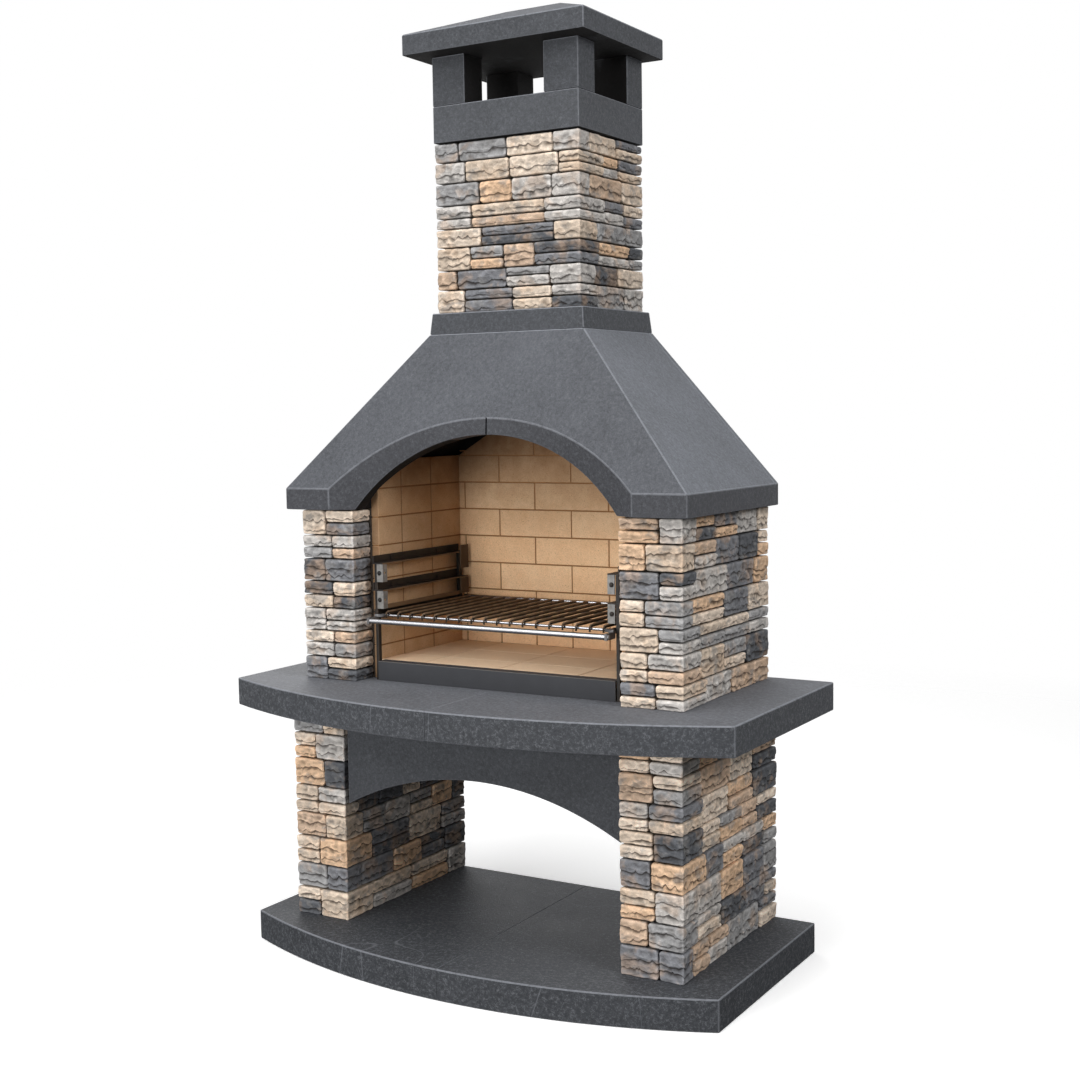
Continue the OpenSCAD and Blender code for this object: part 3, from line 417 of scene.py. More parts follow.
def plate_steel_finish():
    """Grey zinc-plated sheet, mottled, with brown heat stains and painted highlights on its rounded
    edges.
    """
    f = Finish("plate steel", roughness=0.5, metallic=0.35, specular=0.3)
    where = f.place()
    mottle = f.noise(where, 90.0, 4.0, 0.6)
    fine = f.noise(f.place((1, 1, 9)), 300.0, 2.0, 0.6)
    base = f.mix(mottle.above(0.35, 0.7), srgb(112, 111, 109), srgb(142, 140, 137))
    base = f.mix(f.noise(where, 60.0, 3.0, 0.6).above(0.56, 0.74) * 0.5, base, srgb(98, 80, 62))
    # Painted highlight on the rounded edges
    base = f.mix(f.attribute("edge") * 0.5, base, srgb(196, 194, 190))
    return f.wear(Base_Color=base, Roughness=0.42 + mottle * 0.2, Normal=f.bump(fine, 0.0002, 0.4))


def chrome_finish():
    """Bright chrome plate with a faint haze of handling, painted shade on its reflection below and
    on flat tops, and burnt dark over the fire."""
    f = Finish("chrome", roughness=0.17, metallic=1.0)
    haze = f.noise(f.place(), 60.0, 4.0, 0.6)
    burnt = f.attribute("burnt")
    base = f.mix(haze.above(0.5, 0.8) * 0.5, srgb(198, 198, 202), srgb(170, 168, 165))
    # Painted shade: the reflection darkened below and on flat tops
    base = f.mix(f.attribute("under") * 0.75, base, srgb(96, 94, 94))
    base = f.mix(burnt, base, srgb(30, 24, 20))
    gloss = 0.17 + haze * 0.12 + burnt * 0.3
    return f.wear(Base_Color=base, Roughness=gloss, Metallic=1 - burnt * 0.85)


def wire_finish():
    """Wire browned by heat, with painted shade, black, on its flanks and below."""
    f = Finish("grill wire", roughness=0.45, metallic=0.2, specular=0.3)
    where = f.place()
    burnt = f.noise(where, 45.0, 4.0, 0.65)
    top = f.mix(burnt.above(0.3, 0.66), srgb(126, 103, 80), srgb(84, 65, 48))
    # Painted shade: black on the flanks and below
    base = f.mix(f.attribute("under"), top, srgb(18, 14, 11))
    return f.wear(Base_Color=base, Roughness=0.36 + burnt * 0.25, Normal=f.bump(burnt, 0.0003, 0.5))


# Geometry

def smooth_step(t):
    return t * t * (3 - 2 * t)


def value_noise(seed, *axes):
    """Smooth random values from -1 to 1: hashed numbers at whole coordinates, eased between
    them."""
    cells = [np.floor(a).astype(np.int64) for a in axes]
    parts = [smooth_step(a - c) for a, c in zip(axes, cells)]
    primes = (73856093, 19349663, 83492791)
    total = 0.0
    for corner in itertools.product((0, 1), repeat=len(axes)):
        share = 1.0
        key = np.int64(seed * 2654435761 % 2147483647)
        for cell, part, step, prime in zip(cells, parts, corner, primes):
            share = share * (part if step else 1 - part)
            key = key ^ ((cell + step) * prime)
        key = (key ^ (key >> 13)) * 1274126177 & 0x7FFFFFFF
        key = (key ^ (key >> 16)) * 69069 & 0x7FFFFFFF
        total = total + share * (key / 0x3FFFFFFF - 1)
    return total


def solids_of(node):
    """The corners of each closed solid in a CAD node: its loose triangles are merged, and a label
    spreads over every edge until each solid has one label."""
    mesh = frame["nodes"][node].data
    points = np.zeros(len(mesh.vertices) * 3, np.float32)
    mesh.vertices.foreach_get("co", points)
    points = points.reshape(-1, 3).astype(float)
    mesh.calc_loop_triangles()
    triangles = np.zeros(len(mesh.loop_triangles) * 3, np.int32)
    mesh.loop_triangles.foreach_get("vertices", triangles)
    whole = np.round(points / (POINT_GRID * MM)).astype(np.int64)
    unique, index = np.unique(whole, axis=0, return_inverse=True)
    triangles = index.reshape(-1)[triangles].reshape(-1, 3)
    label = np.arange(len(unique))
    while True:
        lowest = label[triangles].min(1)
        spread = label.copy()
        for side in range(3):
            np.minimum.at(spread, triangles[:, side], lowest)
        if np.array_equal(spread, label):
            break
        label = spread
    corners = unique * POINT_GRID * MM
    return [corners[label == one] for one in np.unique(label)]


def add_piece(name, mesh, finish, slot, body, *replaced):
    """Puts a mesh in the scene with its finish and its body, and hides the nodes that it stands
    for.
    The slot is not used."""
    mesh.materials.clear()
    mesh.materials.append(finish)
    piece = bpy.data.objects.new(name, mesh)
    bpy.context.scene.collection.objects.link(piece)
    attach(piece, body)
    if replaced:
        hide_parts(*replaced)


def new_mesh(name, points, faces, smooth, values):
    """A mesh from numpy arrays: its faces smooth where asked, with named values at its points."""
    mesh = bpy.data.meshes.new(name)
    mesh.from_pydata(points.tolist(), [], faces)
    mesh.polygons.foreach_set("use_smooth", np.asarray(smooth, bool))
    for key, value in values.items():
        layer = mesh.attributes.new(key, "FLOAT", "POINT")
        layer.data.foreach_set("value", np.asarray(value, np.float32))
    return mesh


def stations(length, edge):
    """Places along a stone: evenly spaced, with two more in the rounding at each end."""
    low = [0, 0.3 * edge, edge]
    high = [length - edge, length - 0.3 * edge, length]
    count = max(1, round((high[0] - low[-1]) / STONE_GRID))
    return np.concatenate([low, np.linspace(low[-1], high[0], count + 1)[1:-1], high])


def rounding(distance, radius):
    """Depth of a quarter round at a distance in from the edge."""
    inside = np.clip(1 - distance / radius, 0, 1)
    return radius * (1 - np.sqrt(1 - inside ** 2))


def bowls(seed, across, rise):
    """1 in the middle of each bowl and 0 on the sharp ridges between bowls: one less 1.6 times the
    squared distance to the nearest point of a shaken grid, in the grid's own steps."""
    column, row = np.floor(across), np.floor(rise)
    nearest = np.full(across.shape, 9.0)
    for step_s, step_t in itertools.product((-1, 0, 1), repeat=2):
        at_s, at_t = column + step_s, row + step_t
        apart_s = across - at_s - 0.5 - 0.42 * value_noise(seed, at_s, at_t)
        apart_t = rise - at_t - 0.5 - 0.42 * value_noise(seed + 1, at_s, at_t)
        nearest = np.minimum(nearest, apart_s ** 2 + apart_t ** 2)
    return np.clip(1 - 1.6 * nearest, 0, 1)


def drift(seed, s, t, wide, high):
    """A noise over a stone's face, with waves so many millimetres wide and high."""
    return value_noise(seed, s / (wide * MM), t / (high * MM))


def rock_face(s, t, length, height, rng):
    """Depth of a split rock face at s along and t up a stone: a gently rolling plane that falls
    away softly to the rims, hollowed by bowls that a noise bends, deeper in some places."""
    seed = int(rng.integers(1, 10000))
    size = rng.uniform(0.8, 1.3) * np.array(BOWL_SIZE)
    warp_s = s + 7 * MM * drift(seed, s, t, 21, 15)
    warp_t = t + 6 * MM * drift(seed + 1, s, t, 19, 13)
    rim = np.minimum(np.minimum(s, length - s), np.minimum(t, height - t))
    rolling = 1.1 * MM * (1 + drift(seed + 2, s, t, 34, 24))
    falling = 1.3 * MM * np.exp(-rim / (5 * MM))
    hollow = 2.6 * MM * (1 + 0.6 * drift(seed + 3, s, t, 30, 22))
    depth = rolling + falling + hollow * bowls(seed + 5, warp_s / size[0], warp_t / size[1])
    return depth + 0.25 * MM * drift(seed + 4, s, t, 6, 5)


def ledge_lines(s, height, edge, rng):
    """Heights of a stone's one or two ledges along it: shallow arcs hanging between small upward
    cusps, from folded noises, on a slight slope."""
    seed = int(rng.integers(1, 10000))
    if height < TWO_LEDGES:
        middles = [rng.uniform(0.42, 0.72)]
    else:
        middles = [rng.uniform(0.3, 0.4), rng.uniform(0.64, 0.78)]
    lines = []
    lowest, highest = edge + 2 * MM, height - edge - 2 * MM
    for index, middle in enumerate(middles):
        arcs = 10 * MM * np.abs(value_noise(seed + 2 * index, s / (25 * MM)))
        teeth = 4 * MM * np.abs(value_noise(seed + 2 * index + 1, s / (10 * MM)))
        slope = rng.uniform(-0.1, 0.1) * (s / s[-1] - 0.5)
        lines.append(np.clip(height * (middle + slope) - arcs - teeth, lowest, highest))
    return lines


def blurred(values, times):
    """Each value taken towards the mean of its four neighbours, so many times."""
    for _ in range(times):
        wide = np.pad(values, 1, mode="edge")
        values = (wide[:-2, 1:-1] + wide[2:, 1:-1] + wide[1:-1, :-2] + wide[1:-1, 2:]) / 4
    return values


def face_rows(lines, height, edge):
    """Heights of the rows of a stone's face: close together in the rounded foot and head and on
    either side of each ledge, even between."""
    bounds = [np.full_like(lines[0], edge)]
    for line in lines:
        bounds += [line - LEDGE_LIP, line + LEDGE_LIP]
    bounds.append(np.full_like(lines[0], height - edge))
    rows = [np.outer([0, 0.3], bounds[0])]
    for low, high in zip(bounds[0::2], bounds[1::2]):
        count = max(2, round(float(np.mean(high - low)) / STONE_GRID))
        rows.append(low + np.outer(np.linspace(0, 1, count + 1), high - low))
    rows.append(height - np.outer([0.3, 0], bounds[0]))
    return np.vstack(rows)


def stepped(depth, s, t, lines, rng):
    """The depth with a step back under each ledge, which fades downwards, and the ledge's painted
    light:
    painted shade right under the ledge and a painted highlight on its lip."""
    ledge_shade = 0.0
    for line in lines:
        strength = rng.uniform(0.35, 1.0)
        step = LEDGE_STEP * strength * (0.7 + 0.3 * value_noise(7, s / (16 * MM)))
        below = np.clip(line - t, 0, None)
        above = np.clip(t - line, 0, None)
        depth = depth + np.where(t < line, step * np.exp(-below / LEDGE_FADE), 0)
        dark = -1.0 * np.exp(-below / LEDGE_MARK)
        light = 0.7 * np.exp(-above / LEDGE_MARK)
        ledge_shade = ledge_shade + step / (4 * MM) * np.where(t < line, dark, light)
    return np.clip(depth, 0, STONE_DEEPEST), ledge_shade


def outlined(s, t, total, height, to_end, rng):
    """The grid of a stone's face with the corners of its outline rounded, and its edges wandering
    a little."""
    seed = int(rng.integers(1, 10000))
    cut = min(STONE_CORNER, height * 0.3) * rng.uniform(0.6, 1.0)
    round_in = rounding(np.minimum(s, total - s), cut)
    low_in = STONE_WANDER * (1 + value_noise(seed, s / (14 * MM))) + round_in
    high_in = STONE_WANDER * (1 + value_noise(seed + 5, s / (14 * MM))) + round_in
    t = low_in + t * (height - low_in - high_in) / height
    near_end = np.clip(1 - to_end / (6 * MM), 0, 1)
    end_in = STONE_WANDER * (1 + value_noise(seed + 9, t / (12 * MM))) * near_end
    return s + np.where(s < total / 2, 1, -1) * end_in, t


def in_space(origin, along, inward, lengths, s, t, depth):
    """The points at s along a wall, t up it and so deep in it. At the corner of an L the grid turns
    with a mitre."""
    s, t, depth = s[..., None], t[..., None], depth[..., None]
    if len(lengths) == 1:
        points = origin + s * along[0] + depth * inward[0]
    else:
        corner = lengths[0]
        first = depth + np.clip(corner - s, 0, None) * (1 - depth / lengths[0])
        second = depth + np.clip(s - corner, 0, None) * (1 - depth / lengths[1])
        before = first * along[0] + depth * along[1]
        after = depth * along[0] + second * along[1]
        points = origin + np.where(s <= corner, before, after)
    return points + t * np.array([0, 0, 1.0])


def rock_block(origin, along, inward, lengths, thick, height, rng):
    """One rock-faced stone: a grid of s along the wall and t up it, set back by rock_face(), by its
    ledges and by the rounding of its rim. Its relief shade is 1 on ridges, rims and corners, a
    painted highlight, and -1 in hollows, a painted shade, and behind the face."""
    total = sum(lengths)
    corner = lengths[0] if len(lengths) == 2 else None
    edge = min(STONE_ROUND, height * 0.3)
    s = stations(lengths[0], edge)
    if corner is not None:
        s = np.concatenate([s, corner + stations(lengths[1], edge)[1:]])
    lines = ledge_lines(s, height, edge, rng)
    t = face_rows(lines, height, edge)
    s_grid = np.broadcast_to(s, t.shape)
    depth = rock_face(s_grid, t, total, height, rng)
    depth, ledge_shade = stepped(depth, s_grid, t, lines, rng)
    # The relief shade is painted light: painted shade where the face lies deeper than its blurred
    # self, a painted highlight where it stands proud
    fine, coarse = blurred(depth, 2) - depth, blurred(depth, 10) - depth
    relief = fine / (2 * MM) + coarse / (4 * MM) + ledge_shade
    to_end = np.minimum(s_grid, total - s_grid)
    to_rim = np.minimum(t, height - t)
    if corner is not None:
        turn = np.abs(s_grid - corner)
        shallower = 0.55 + 0.45 * np.clip(turn / (9 * MM), 0, 1)
        depth = depth * shallower + 0.6 * rounding(turn, edge)
        # A painted highlight along the corner of an L
        relief = relief + 0.9 * np.clip(1 - turn / (4 * MM), 0, 1)
    rim = np.minimum(to_end, to_rim)
    # A painted highlight just inside the rim, partly wear
    relief = relief + 0.7 * np.exp(-((rim - edge) / RIM_MARK) ** 2)
    depth = np.minimum(depth + rounding(to_rim, edge) + rounding(to_end, edge), thick - STONE_LEFT)
    s_grid, t = outlined(s, t, total, height, to_end, rng)
    # The rows behind the face close the section
    back, dark = np.full_like(s, thick), np.full_like(s, -1)
    depth = np.vstack([back, depth, back])
    t = np.vstack([t[0], t, t[-1]])
    s_grid = np.vstack([s_grid[0], s_grid, s_grid[-1]])
    relief = np.vstack([dark, np.clip(relief, -1, 1), dark])
    return in_space(origin, along, inward, lengths, s_grid, t, depth), relief


def quads_of(rows, columns, start, flip):
    """Faces of a closed section swept along a stone, and its two ends. They are smooth, apart from
    the ends and the rows behind the face."""
    grid = start + np.arange(rows * columns).reshape(rows, columns)
    nxt = np.roll(grid, -1, axis=0)
    quads = np.stack([grid[:, :-1], grid[:, 1:], nxt[:, 1:], nxt[:, :-1]], -1).reshape(-1, 4)
    ends = [grid[::-1, 0], grid[:, -1]]
    if flip:
        quads, ends = quads[:, ::-1], [e[::-1] for e in ends]
    smooth = np.ones((rows, columns - 1), bool)
    smooth[[0, -1, -2]] = False
    return quads.tolist() + [e.tolist() for e in ends], smooth.reshape(-1).tolist() + [False, False]


def stone_layout(corners, low, high):
    """Where a stone's face starts, which ways it runs and faces, and its sizes, read from its
    corners and the box of the wall that it clads."""
    least, most = corners.min(0), corners.max(0)
    size = most - least
    plan = np.unique(np.round(corners[:, :2], 5), axis=0)
    if len(plan) == 6:  # an L
        tiny = 0.1 * MM
        box_corners = np.array([[x, y] for x in (least[0], most[0]) for y in (least[1], most[1])])
        present = np.array([np.any(np.all(np.abs(plan - c) < tiny, axis=1)) for c in box_corners])
        missing = box_corners[~present][0]
        outer = least[:2] + most[:2] - missing
        ways = np.sign(missing - outer)
        inner = [v for v in plan if min(*np.abs(v - outer), *np.abs(v - missing)) > tiny]
        thick = float(np.min(np.abs(np.array(inner) - outer)))
        along = np.array([(ways[0], 0, 0), (0, ways[1], 0)])
        origin = np.array([outer[0], outer[1], least[2]])
        return origin, along, along[::-1], (size[0], size[1]), thick
    reach = np.array([least[0] - low[0], high[0] - most[0], least[1] - low[1], high[1] - most[1]])
    in_side = size[0] < size[1] and reach[:2].min() < STONE_GAP
    axis = 0 if in_side or reach[2:].min() > STONE_GAP else 1
    near_low = reach[2 * axis] < reach[2 * axis + 1]
    inward, along = np.zeros((1, 3)), np.zeros((1, 3))
    inward[0, axis] = 1 if near_low else -1
    along[0, 1 - axis] = 1
    origin = least.copy()
    origin[axis] = least[axis] if near_low else most[axis]
    return origin, along, inward, (size[1 - axis],), size[axis]


def clad(node, number, lightness):
    """All the stones of one wall or pillar as one piece."""
    low, high = (np.array(c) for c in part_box(node))
    points, faces, smooth, tones, relief_shades = [], [], [], [], []
    count = 0
    for index, corners in enumerate(solids_of(node)):
        rng = np.random.default_rng(SEED + 1000 * number + index)
        origin, along, inward, lengths, thick = stone_layout(corners, low, high)
        height = float(np.ptp(corners[:, 2]))
        block, relief = rock_block(origin, along, inward, lengths, thick, height, rng)
        rows, columns = block.shape[:2]
        way = -along[0] if len(lengths) == 2 else along[0]
        flip = float(np.dot(np.cross(way, (0, 0, 1.0)), inward[0])) > 0
        new_faces, new_smooth = quads_of(rows, columns, count, flip)
        points.append(block.reshape(-1, 3))
        faces += new_faces
        smooth += new_smooth
        tones.append(np.full(rows * columns, rng.random()))
        relief_shades.append(relief.reshape(-1))
        count += rows * columns
    values = {"tone": np.concatenate(tones), "relief": np.concatenate(relief_shades),
              "lightness": np.full(count, lightness)}
    mesh = new_mesh(node + "_rock", np.concatenate(points), faces, smooth, values)
    add_piece(node + "_rock", mesh, STONE, "cladding_stone", MASONRY, node)


def face_values(mesh, name, values):
    layer = mesh.attributes.new(name, "FLOAT", "FACE")
    layer.data.foreach_set("value", np.asarray(values, np.float32))


def face_layout(mesh):
    """Middle and normal of every face."""
    centre, normal = np.zeros((2, len(mesh.polygons) * 3), np.float32)
    mesh.polygons.foreach_get("center", centre)
    mesh.polygons.foreach_get("normal", normal)
    return centre.reshape(-1, 3), normal.reshape(-1, 3)


def rounded_off(work, edges, width, segments, clamp=True):
    """Rounds the edges, and marks the narrow faces that this makes by a material index of 1."""
    bmesh.ops.bevel(work, geom=edges, offset=width, segments=segments, profile=0.5, affect="EDGES",
                    clamp_overlap=clamp, material=1)


def steep_edges(work, steep, in_seam):
    """The edges that bend more than so many degrees, either in the seam or out of it."""
    found = [e for e in work.edges
             if len(e.link_faces) == 2 and e.calc_face_angle() > math.radians(steep)]
    return [e for e in found if all(abs(v.co.x) < SEAM_REACH for v in e.verts) == in_seam]


def softened(node, width, finish, slot, body=MASONRY, segments=2, steep=25.0, sharp=14.0,
             clamp=True, **values):
    """A merged copy of a CAD node with its edges rounded where they bend more than steep degrees,
    finely where two halves meet in the middle, and its shading broken where they bend more than
    sharp degrees. The narrow faces carry the value edge, how strongly they are painted as a
    highlight (as shade on firebrick): 1 where they look up, less at the sides and below. Each face
    has a tone by its place, and any more values come from its middle and its normal."""
    work = bmesh.new()
    work.from_mesh(frame["nodes"][node].data)
    bmesh.ops.remove_doubles(work, verts=work.verts, dist=MERGE)
    bmesh.ops.dissolve_limit(work, angle_limit=FLAT, verts=work.verts, edges=work.edges)
    for face in work.faces:
        face.material_index = 0
    if width:
        rounded_off(work, steep_edges(work, steep, False), width, segments, clamp)
        still_sharp = [e for e in steep_edges(work, steep, True)
                       if all(f.material_index == 0 for f in e.link_faces)]
        rounded_off(work, still_sharp, min(width, SEAM_BEVEL), 1)
    mesh = bpy.data.meshes.new(node + "_finished")
    work.to_mesh(mesh)
    work.free()
    narrow = np.zeros(len(mesh.polygons), np.int32)
    mesh.polygons.foreach_get("material_index", narrow)
    mesh.polygons.foreach_set("material_index", np.zeros(len(mesh.polygons), np.int32))
    centre, normal = face_layout(mesh)
    cell = np.round(centre / TONE_CELL) * 1.37
    face_values(mesh, "edge", narrow * np.interp(normal[:, 2], EDGE_SLOPES, EDGE_LIGHT))
    face_values(mesh, "tone", 0.5 + 0.5 * value_noise(3, *cell.T.astype(float)))
    for name, worked_out in values.items():
        face_values(mesh, name, worked_out(centre, normal))
    mesh.shade_smooth()
    mesh.set_sharp_from_angle(angle=math.radians(sharp))
    add_piece(node + "_finished", mesh, finish, slot, body, node)


def joint_bars(node, along, up, face):
    """The mortar of a wall of bricks, as bars in its joints: one over each brick and its joint, and
    one at each brick's far end. Along, up and face are the wall's axes, and the bars lie a little
    behind its faces and its ends."""
    solids = solids_of(node)
    low = np.array([c.min(0) for c in solids])
    high = np.array([c.max(0) for c in solids])
    wall_low, wall_high = (np.array(c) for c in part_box(node))
    beyond = np.minimum(high + BRICK_JOINT, wall_high)
    over_low, over_high, end_low, end_high = low.copy(), beyond.copy(), low.copy(), high.copy()
    over_low[:, up] = high[:, up]
    end_low[:, along] = high[:, along]
    end_high[:, along] = beyond[:, along]
    low, high = np.vstack([over_low, end_low]), np.vstack([over_high, end_high])
    inset = np.zeros(3)
    inset[[along, face]] = MORTAR_DEPTH
    low, high = np.maximum(low, wall_low + inset), np.minimum(high, wall_high - inset)
    real = np.all(high - low > MORTAR_LEAST, axis=1)
    low, high = low[real], high[real]
    corners = np.array(list(itertools.product((0, 1), repeat=3)))
    points = low[:, None] + corners * (high - low)[:, None]
    sides = np.array([(0, 1, 3, 2), (4, 6, 7, 5), (0, 4, 5, 1), (2, 3, 7, 6), (0, 2, 6, 4),
                      (1, 5, 7, 3)])
    faces = (sides + 8 * np.arange(len(low))[:, None, None]).reshape(-1, 4)
    mesh = new_mesh(node + "_mortar", points.reshape(-1, 3), faces.tolist(),
                    np.zeros(len(faces)), {})
    add_piece(node + "_mortar", mesh, MORTAR, "firebrick", MASONRY)


def seam_filler(slab):
    """The sealant between a slab's two halves: a strip as thick as the seam, whose outline in the
    seam's plane is the slab's own set in a little, with its four corners cut off."""
    low = np.array(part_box(slab + "_left")[0])[1:] + FILLER_DEPTH
    high = np.array(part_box(slab + "_right")[1])[1:] - FILLER_DEPTH
    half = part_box(slab + "_right")[0][0] - FILLER_PLAY
    y, z = (high - low) / 2
    near_y, near_z = y - FILLER_CUT, z - FILLER_CUT
    outline = (low + high) / 2 + np.array([(-y, -near_z), (-near_y, -z), (near_y, -z), (y, -near_z),
                                           (y, near_z), (near_y, z), (-near_y, z), (-y, near_z)])
    points = [np.column_stack([np.full(8, x), outline]) for x in (-half, half)]
    here = np.arange(8)
    after = (here + 1) % 8
    faces = np.stack([here, after, after + 8, here + 8], -1).tolist()
    faces += [here[::-1].tolist(), (here + 8).tolist()]
    mesh = new_mesh(slab + "_seam", np.vstack(points), faces, np.zeros(len(faces)), {})
    add_piece(slab + "_seam", mesh, MORTAR, "concrete", MASONRY)


def turned(profile, steps):
    """A closed surface of revolution about -Y at the origin: the profile's radii and heights
    carried round in even steps, with a point at each end."""
    radius, height = np.array(profile).T
    angle = np.linspace(0, 2 * math.pi, steps, endpoint=False)
    x = radius[:, None] * np.cos(angle)
    z = radius[:, None] * np.sin(angle)
    ring = np.stack([x, np.broadcast_to(-height[:, None], x.shape), z], -1).reshape(-1, 3)
    points = np.vstack([ring, [(0, -height[0], 0)], [(0, -height[-1], 0)]])
    here = np.arange(steps)
    after = (here + 1) % steps
    rings = steps * np.arange(len(profile))
    faces = [np.stack([this + here, this + after, other + after, other + here], -1)
             for this, other in zip(rings, rings[1:])]
    foot, tip = np.full(steps, len(ring)), np.full(steps, len(ring) + 1)
    low = np.stack([foot, after, here], -1)
    high = np.stack([tip, rings[-1] + here, rings[-1] + after], -1)
    return points, np.vstack(faces).tolist() + low.tolist() + high.tolist()


def clip_bolts(side):
    """A domed bolt head on its washer in the front hole of each clip of a rack."""
    profile = [(share * BOLT_RADIUS, height) for share, height in BOLT_PROFILE]
    points, faces = turned(profile, BOLT_STEPS)
    all_points, all_faces = [], []
    for number, corners in enumerate(solids_of("rack_" + side + "_clips")):
        least, most = corners.min(0), corners.max(0)
        hole = corners[np.abs(corners[:, 1] - least[1]) < 0.2 * MM]
        inner = np.abs(hole[:, 0]).min() + HOLE_RIM
        off_mid = np.abs(hole[:, 2] - (least[2] + most[2]) / 2)
        hole = hole[(np.abs(hole[:, 0]) > inner) & (off_mid < HOLE_REACH)]
        middle = (hole.min(0) + hole.max(0)) / 2
        all_points.append(points + (middle[0], least[1], middle[2]))
        all_faces += [[v + len(points) * number for v in f] for f in faces]
    name = "rack_" + side + "_bolts"
    mesh = new_mesh(name, np.vstack(all_points), all_faces, np.ones(len(all_faces)), {})
    mesh.set_sharp_from_angle(angle=math.radians(40))
    add_piece(name, mesh, BLACK, "black_steel", MASONRY)


# Values that a face gets from its middle and its normal

def looks_into_flue(centre, normal):
    """Upright and sloping faces that look towards the flue's middle line and lie between the
    firebrick walls' outer faces."""
    axis_y = sum(c[1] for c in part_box("chimney_flue_blocks")) / 2
    toward = (np.array([0, axis_y, 0]) - centre) * (1, 1, 0)
    facing = (toward * normal).sum(1) > 20 * MM
    between = np.abs(centre[:, 0]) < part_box("lining_right")[1][0] + 5 * MM
    return facing & between & (np.abs(normal[:, 2]) < 0.98)


def looks_up(centre, normal):
    """How much painted top light faces get: more on flatter slopes, most on tops."""
    return np.interp(normal[:, 2], [0.24, 0.4, 0.67], [0, 0.4, 1])


def looks_down(centre, normal):
    """Full on faces that look down, none on those that look well up."""
    return np.interp(normal[:, 2], [-0.1, 0.6], [1, 0])


def half_down(centre, normal):
    """Painted shade on a bright rod's reflection: full below, none in front, a little on top, and
    full on flat tops.
    """
    return np.interp(normal[:, 2], [-0.8, -0.2, 0.3, 0.85, 0.95, 0.99], [1, 0, 0, 0.45, 0.5, 1])


def inner_lip(centre, normal):
    """The runners' edges on which the grill slides, and the faces of the bar that ties them."""
    from_middle = np.abs(centre[:, 0])
    return from_middle < from_middle.min() + RUNNER_LIP


def over_fire(centre, normal):
    """The rods between the grill's front and rear ones, and less so the frame's front corners with
    the handle's plates."""
    low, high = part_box("grill_wires")
    in_front = centre[:, 1] < low[1] + FRONT_RODS
    between = ~in_front & (centre[:, 1] < high[1] - REAR_ROD)
    corner = in_front & (np.abs(centre[:, 0]) > high[0])
    return np.maximum(between, 0.8 * corner)


def everywhere(centre, normal):
    """The same moderate share on all faces."""
    return np.full(len(centre), 0.45)


def shaded_sides(centre, normal):
    """Painted shade on the side walls, darkest on their ends that look to the front."""
    return np.where(normal[:, 1] < -0.9, 0.9, 0.45)


def smoke_stain(centre, normal):
    """Under the cap, and on the posts' and the ring's faces that look at the flue."""
    return 0.95 * np.maximum(looks_into_flue(centre, normal), normal[:, 2] < -0.9)


# The pieces with their finishes

STONE = stone_finish()
# Each concrete's top_lit colour is its painted top light, the hood's the palest
HOOD = concrete_finish("hood concrete", body=srgb(69, 70, 74), top_lit=srgb(106, 109, 115),
                       curl=srgb(150, 153, 158), curls_share=0.14)
PANEL = concrete_finish("panel concrete", body=srgb(70, 72, 76), top_lit=srgb(84, 86, 91),
                        curl=srgb(130, 133, 138), curls_share=0.2)
SLAB = concrete_finish("slab concrete", body=srgb(66, 68, 72), top_lit=srgb(100, 102, 107),
                       curl=srgb(140, 143, 148), curls_share=0.4, scratches=0.3)
# The ring's concrete is the panels' painted lighter: painted light on the ring
RING_LIT = concrete_finish("ring concrete", body=srgb(79, 81, 85), top_lit=srgb(92, 94, 99),
                       curl=srgb(138, 141, 146), curls_share=0.2)
BRICK = brick_finish()
MORTAR = mortar_finish()
BLOCK = block_finish()
BLACK = black_steel_finish()
SILL = sill_finish()
PLATE = plate_steel_finish()
CHROME = chrome_finish()
WIRE = wire_finish()

for number, (node, lightness) in enumerate(STONE_NODES.items()):
    clad(node, number, lightness)
for node in ("base_slab_left", "base_slab_right"):
    softened(node, SLAB_EDGE, SLAB, "concrete")
for node in ("worktop_left", "worktop_right"):
    softened(node, SLAB_EDGE, SLAB, "concrete", dust=looks_up)
for node in ("hood_front_left", "hood_front_right", "hood_side_left", "hood_side_right",
             "hood_rear"):
    softened(node, PANEL_EDGE, HOOD, "concrete", steep=12.0, sharp=8.0,
             clamp="front" not in node, soot=looks_into_flue, dust=looks_up)
for node in ("arched_apron", "chamber_rear_panel", "hood_collar"):
    softened(node, PANEL_EDGE, PANEL, "concrete", steep=8.0, dust=looks_up)
softened("chimney_top_ring", PANEL_EDGE, RING_LIT, "concrete", steep=8.0, dust=looks_up,
         soot=smoke_stain)
for node in ("chimney_cap", "cap_post_front_left", "cap_post_front_right", "cap_post_rear_left",
             "cap_post_rear_right"):
    softened(node, PANEL_EDGE, PANEL, "concrete", steep=8.0, dust=looks_up, soot=smoke_stain)
softened("hearth_tiles", BRICK_EDGE, BRICK, "firebrick", segments=1, ash=everywhere)
softened("lining_back", BRICK_EDGE, BRICK, "firebrick", segments=1)
for node in ("lining_left", "lining_right"):
    softened(node, BRICK_EDGE, BRICK, "firebrick", segments=1, smoked=shaded_sides)
for node in ("rack_left_uprights", "rack_right_uprights"):
    softened(node, STEEL_EDGE, BLACK, "black_steel")
for node in ("rack_left_runners", "rack_right_runners"):
    # The runners' lips: wear and a painted highlight
    softened(node, STEEL_EDGE, BLACK, "black_steel", rubbed=inner_lip)
for node in ("rack_left_rear_plates", "rack_right_rear_plates"):
    # The rear plates: a painted brown reflection all over
    softened(node, STEEL_EDGE, BLACK, "black_steel", rubbed=everywhere)
softened("sill_strip", PLATE_EDGE, SILL, "black_steel")
for node in ("rack_left_clips", "rack_right_clips"):
    softened(node, PLATE_EDGE, PLATE, "plate_steel")
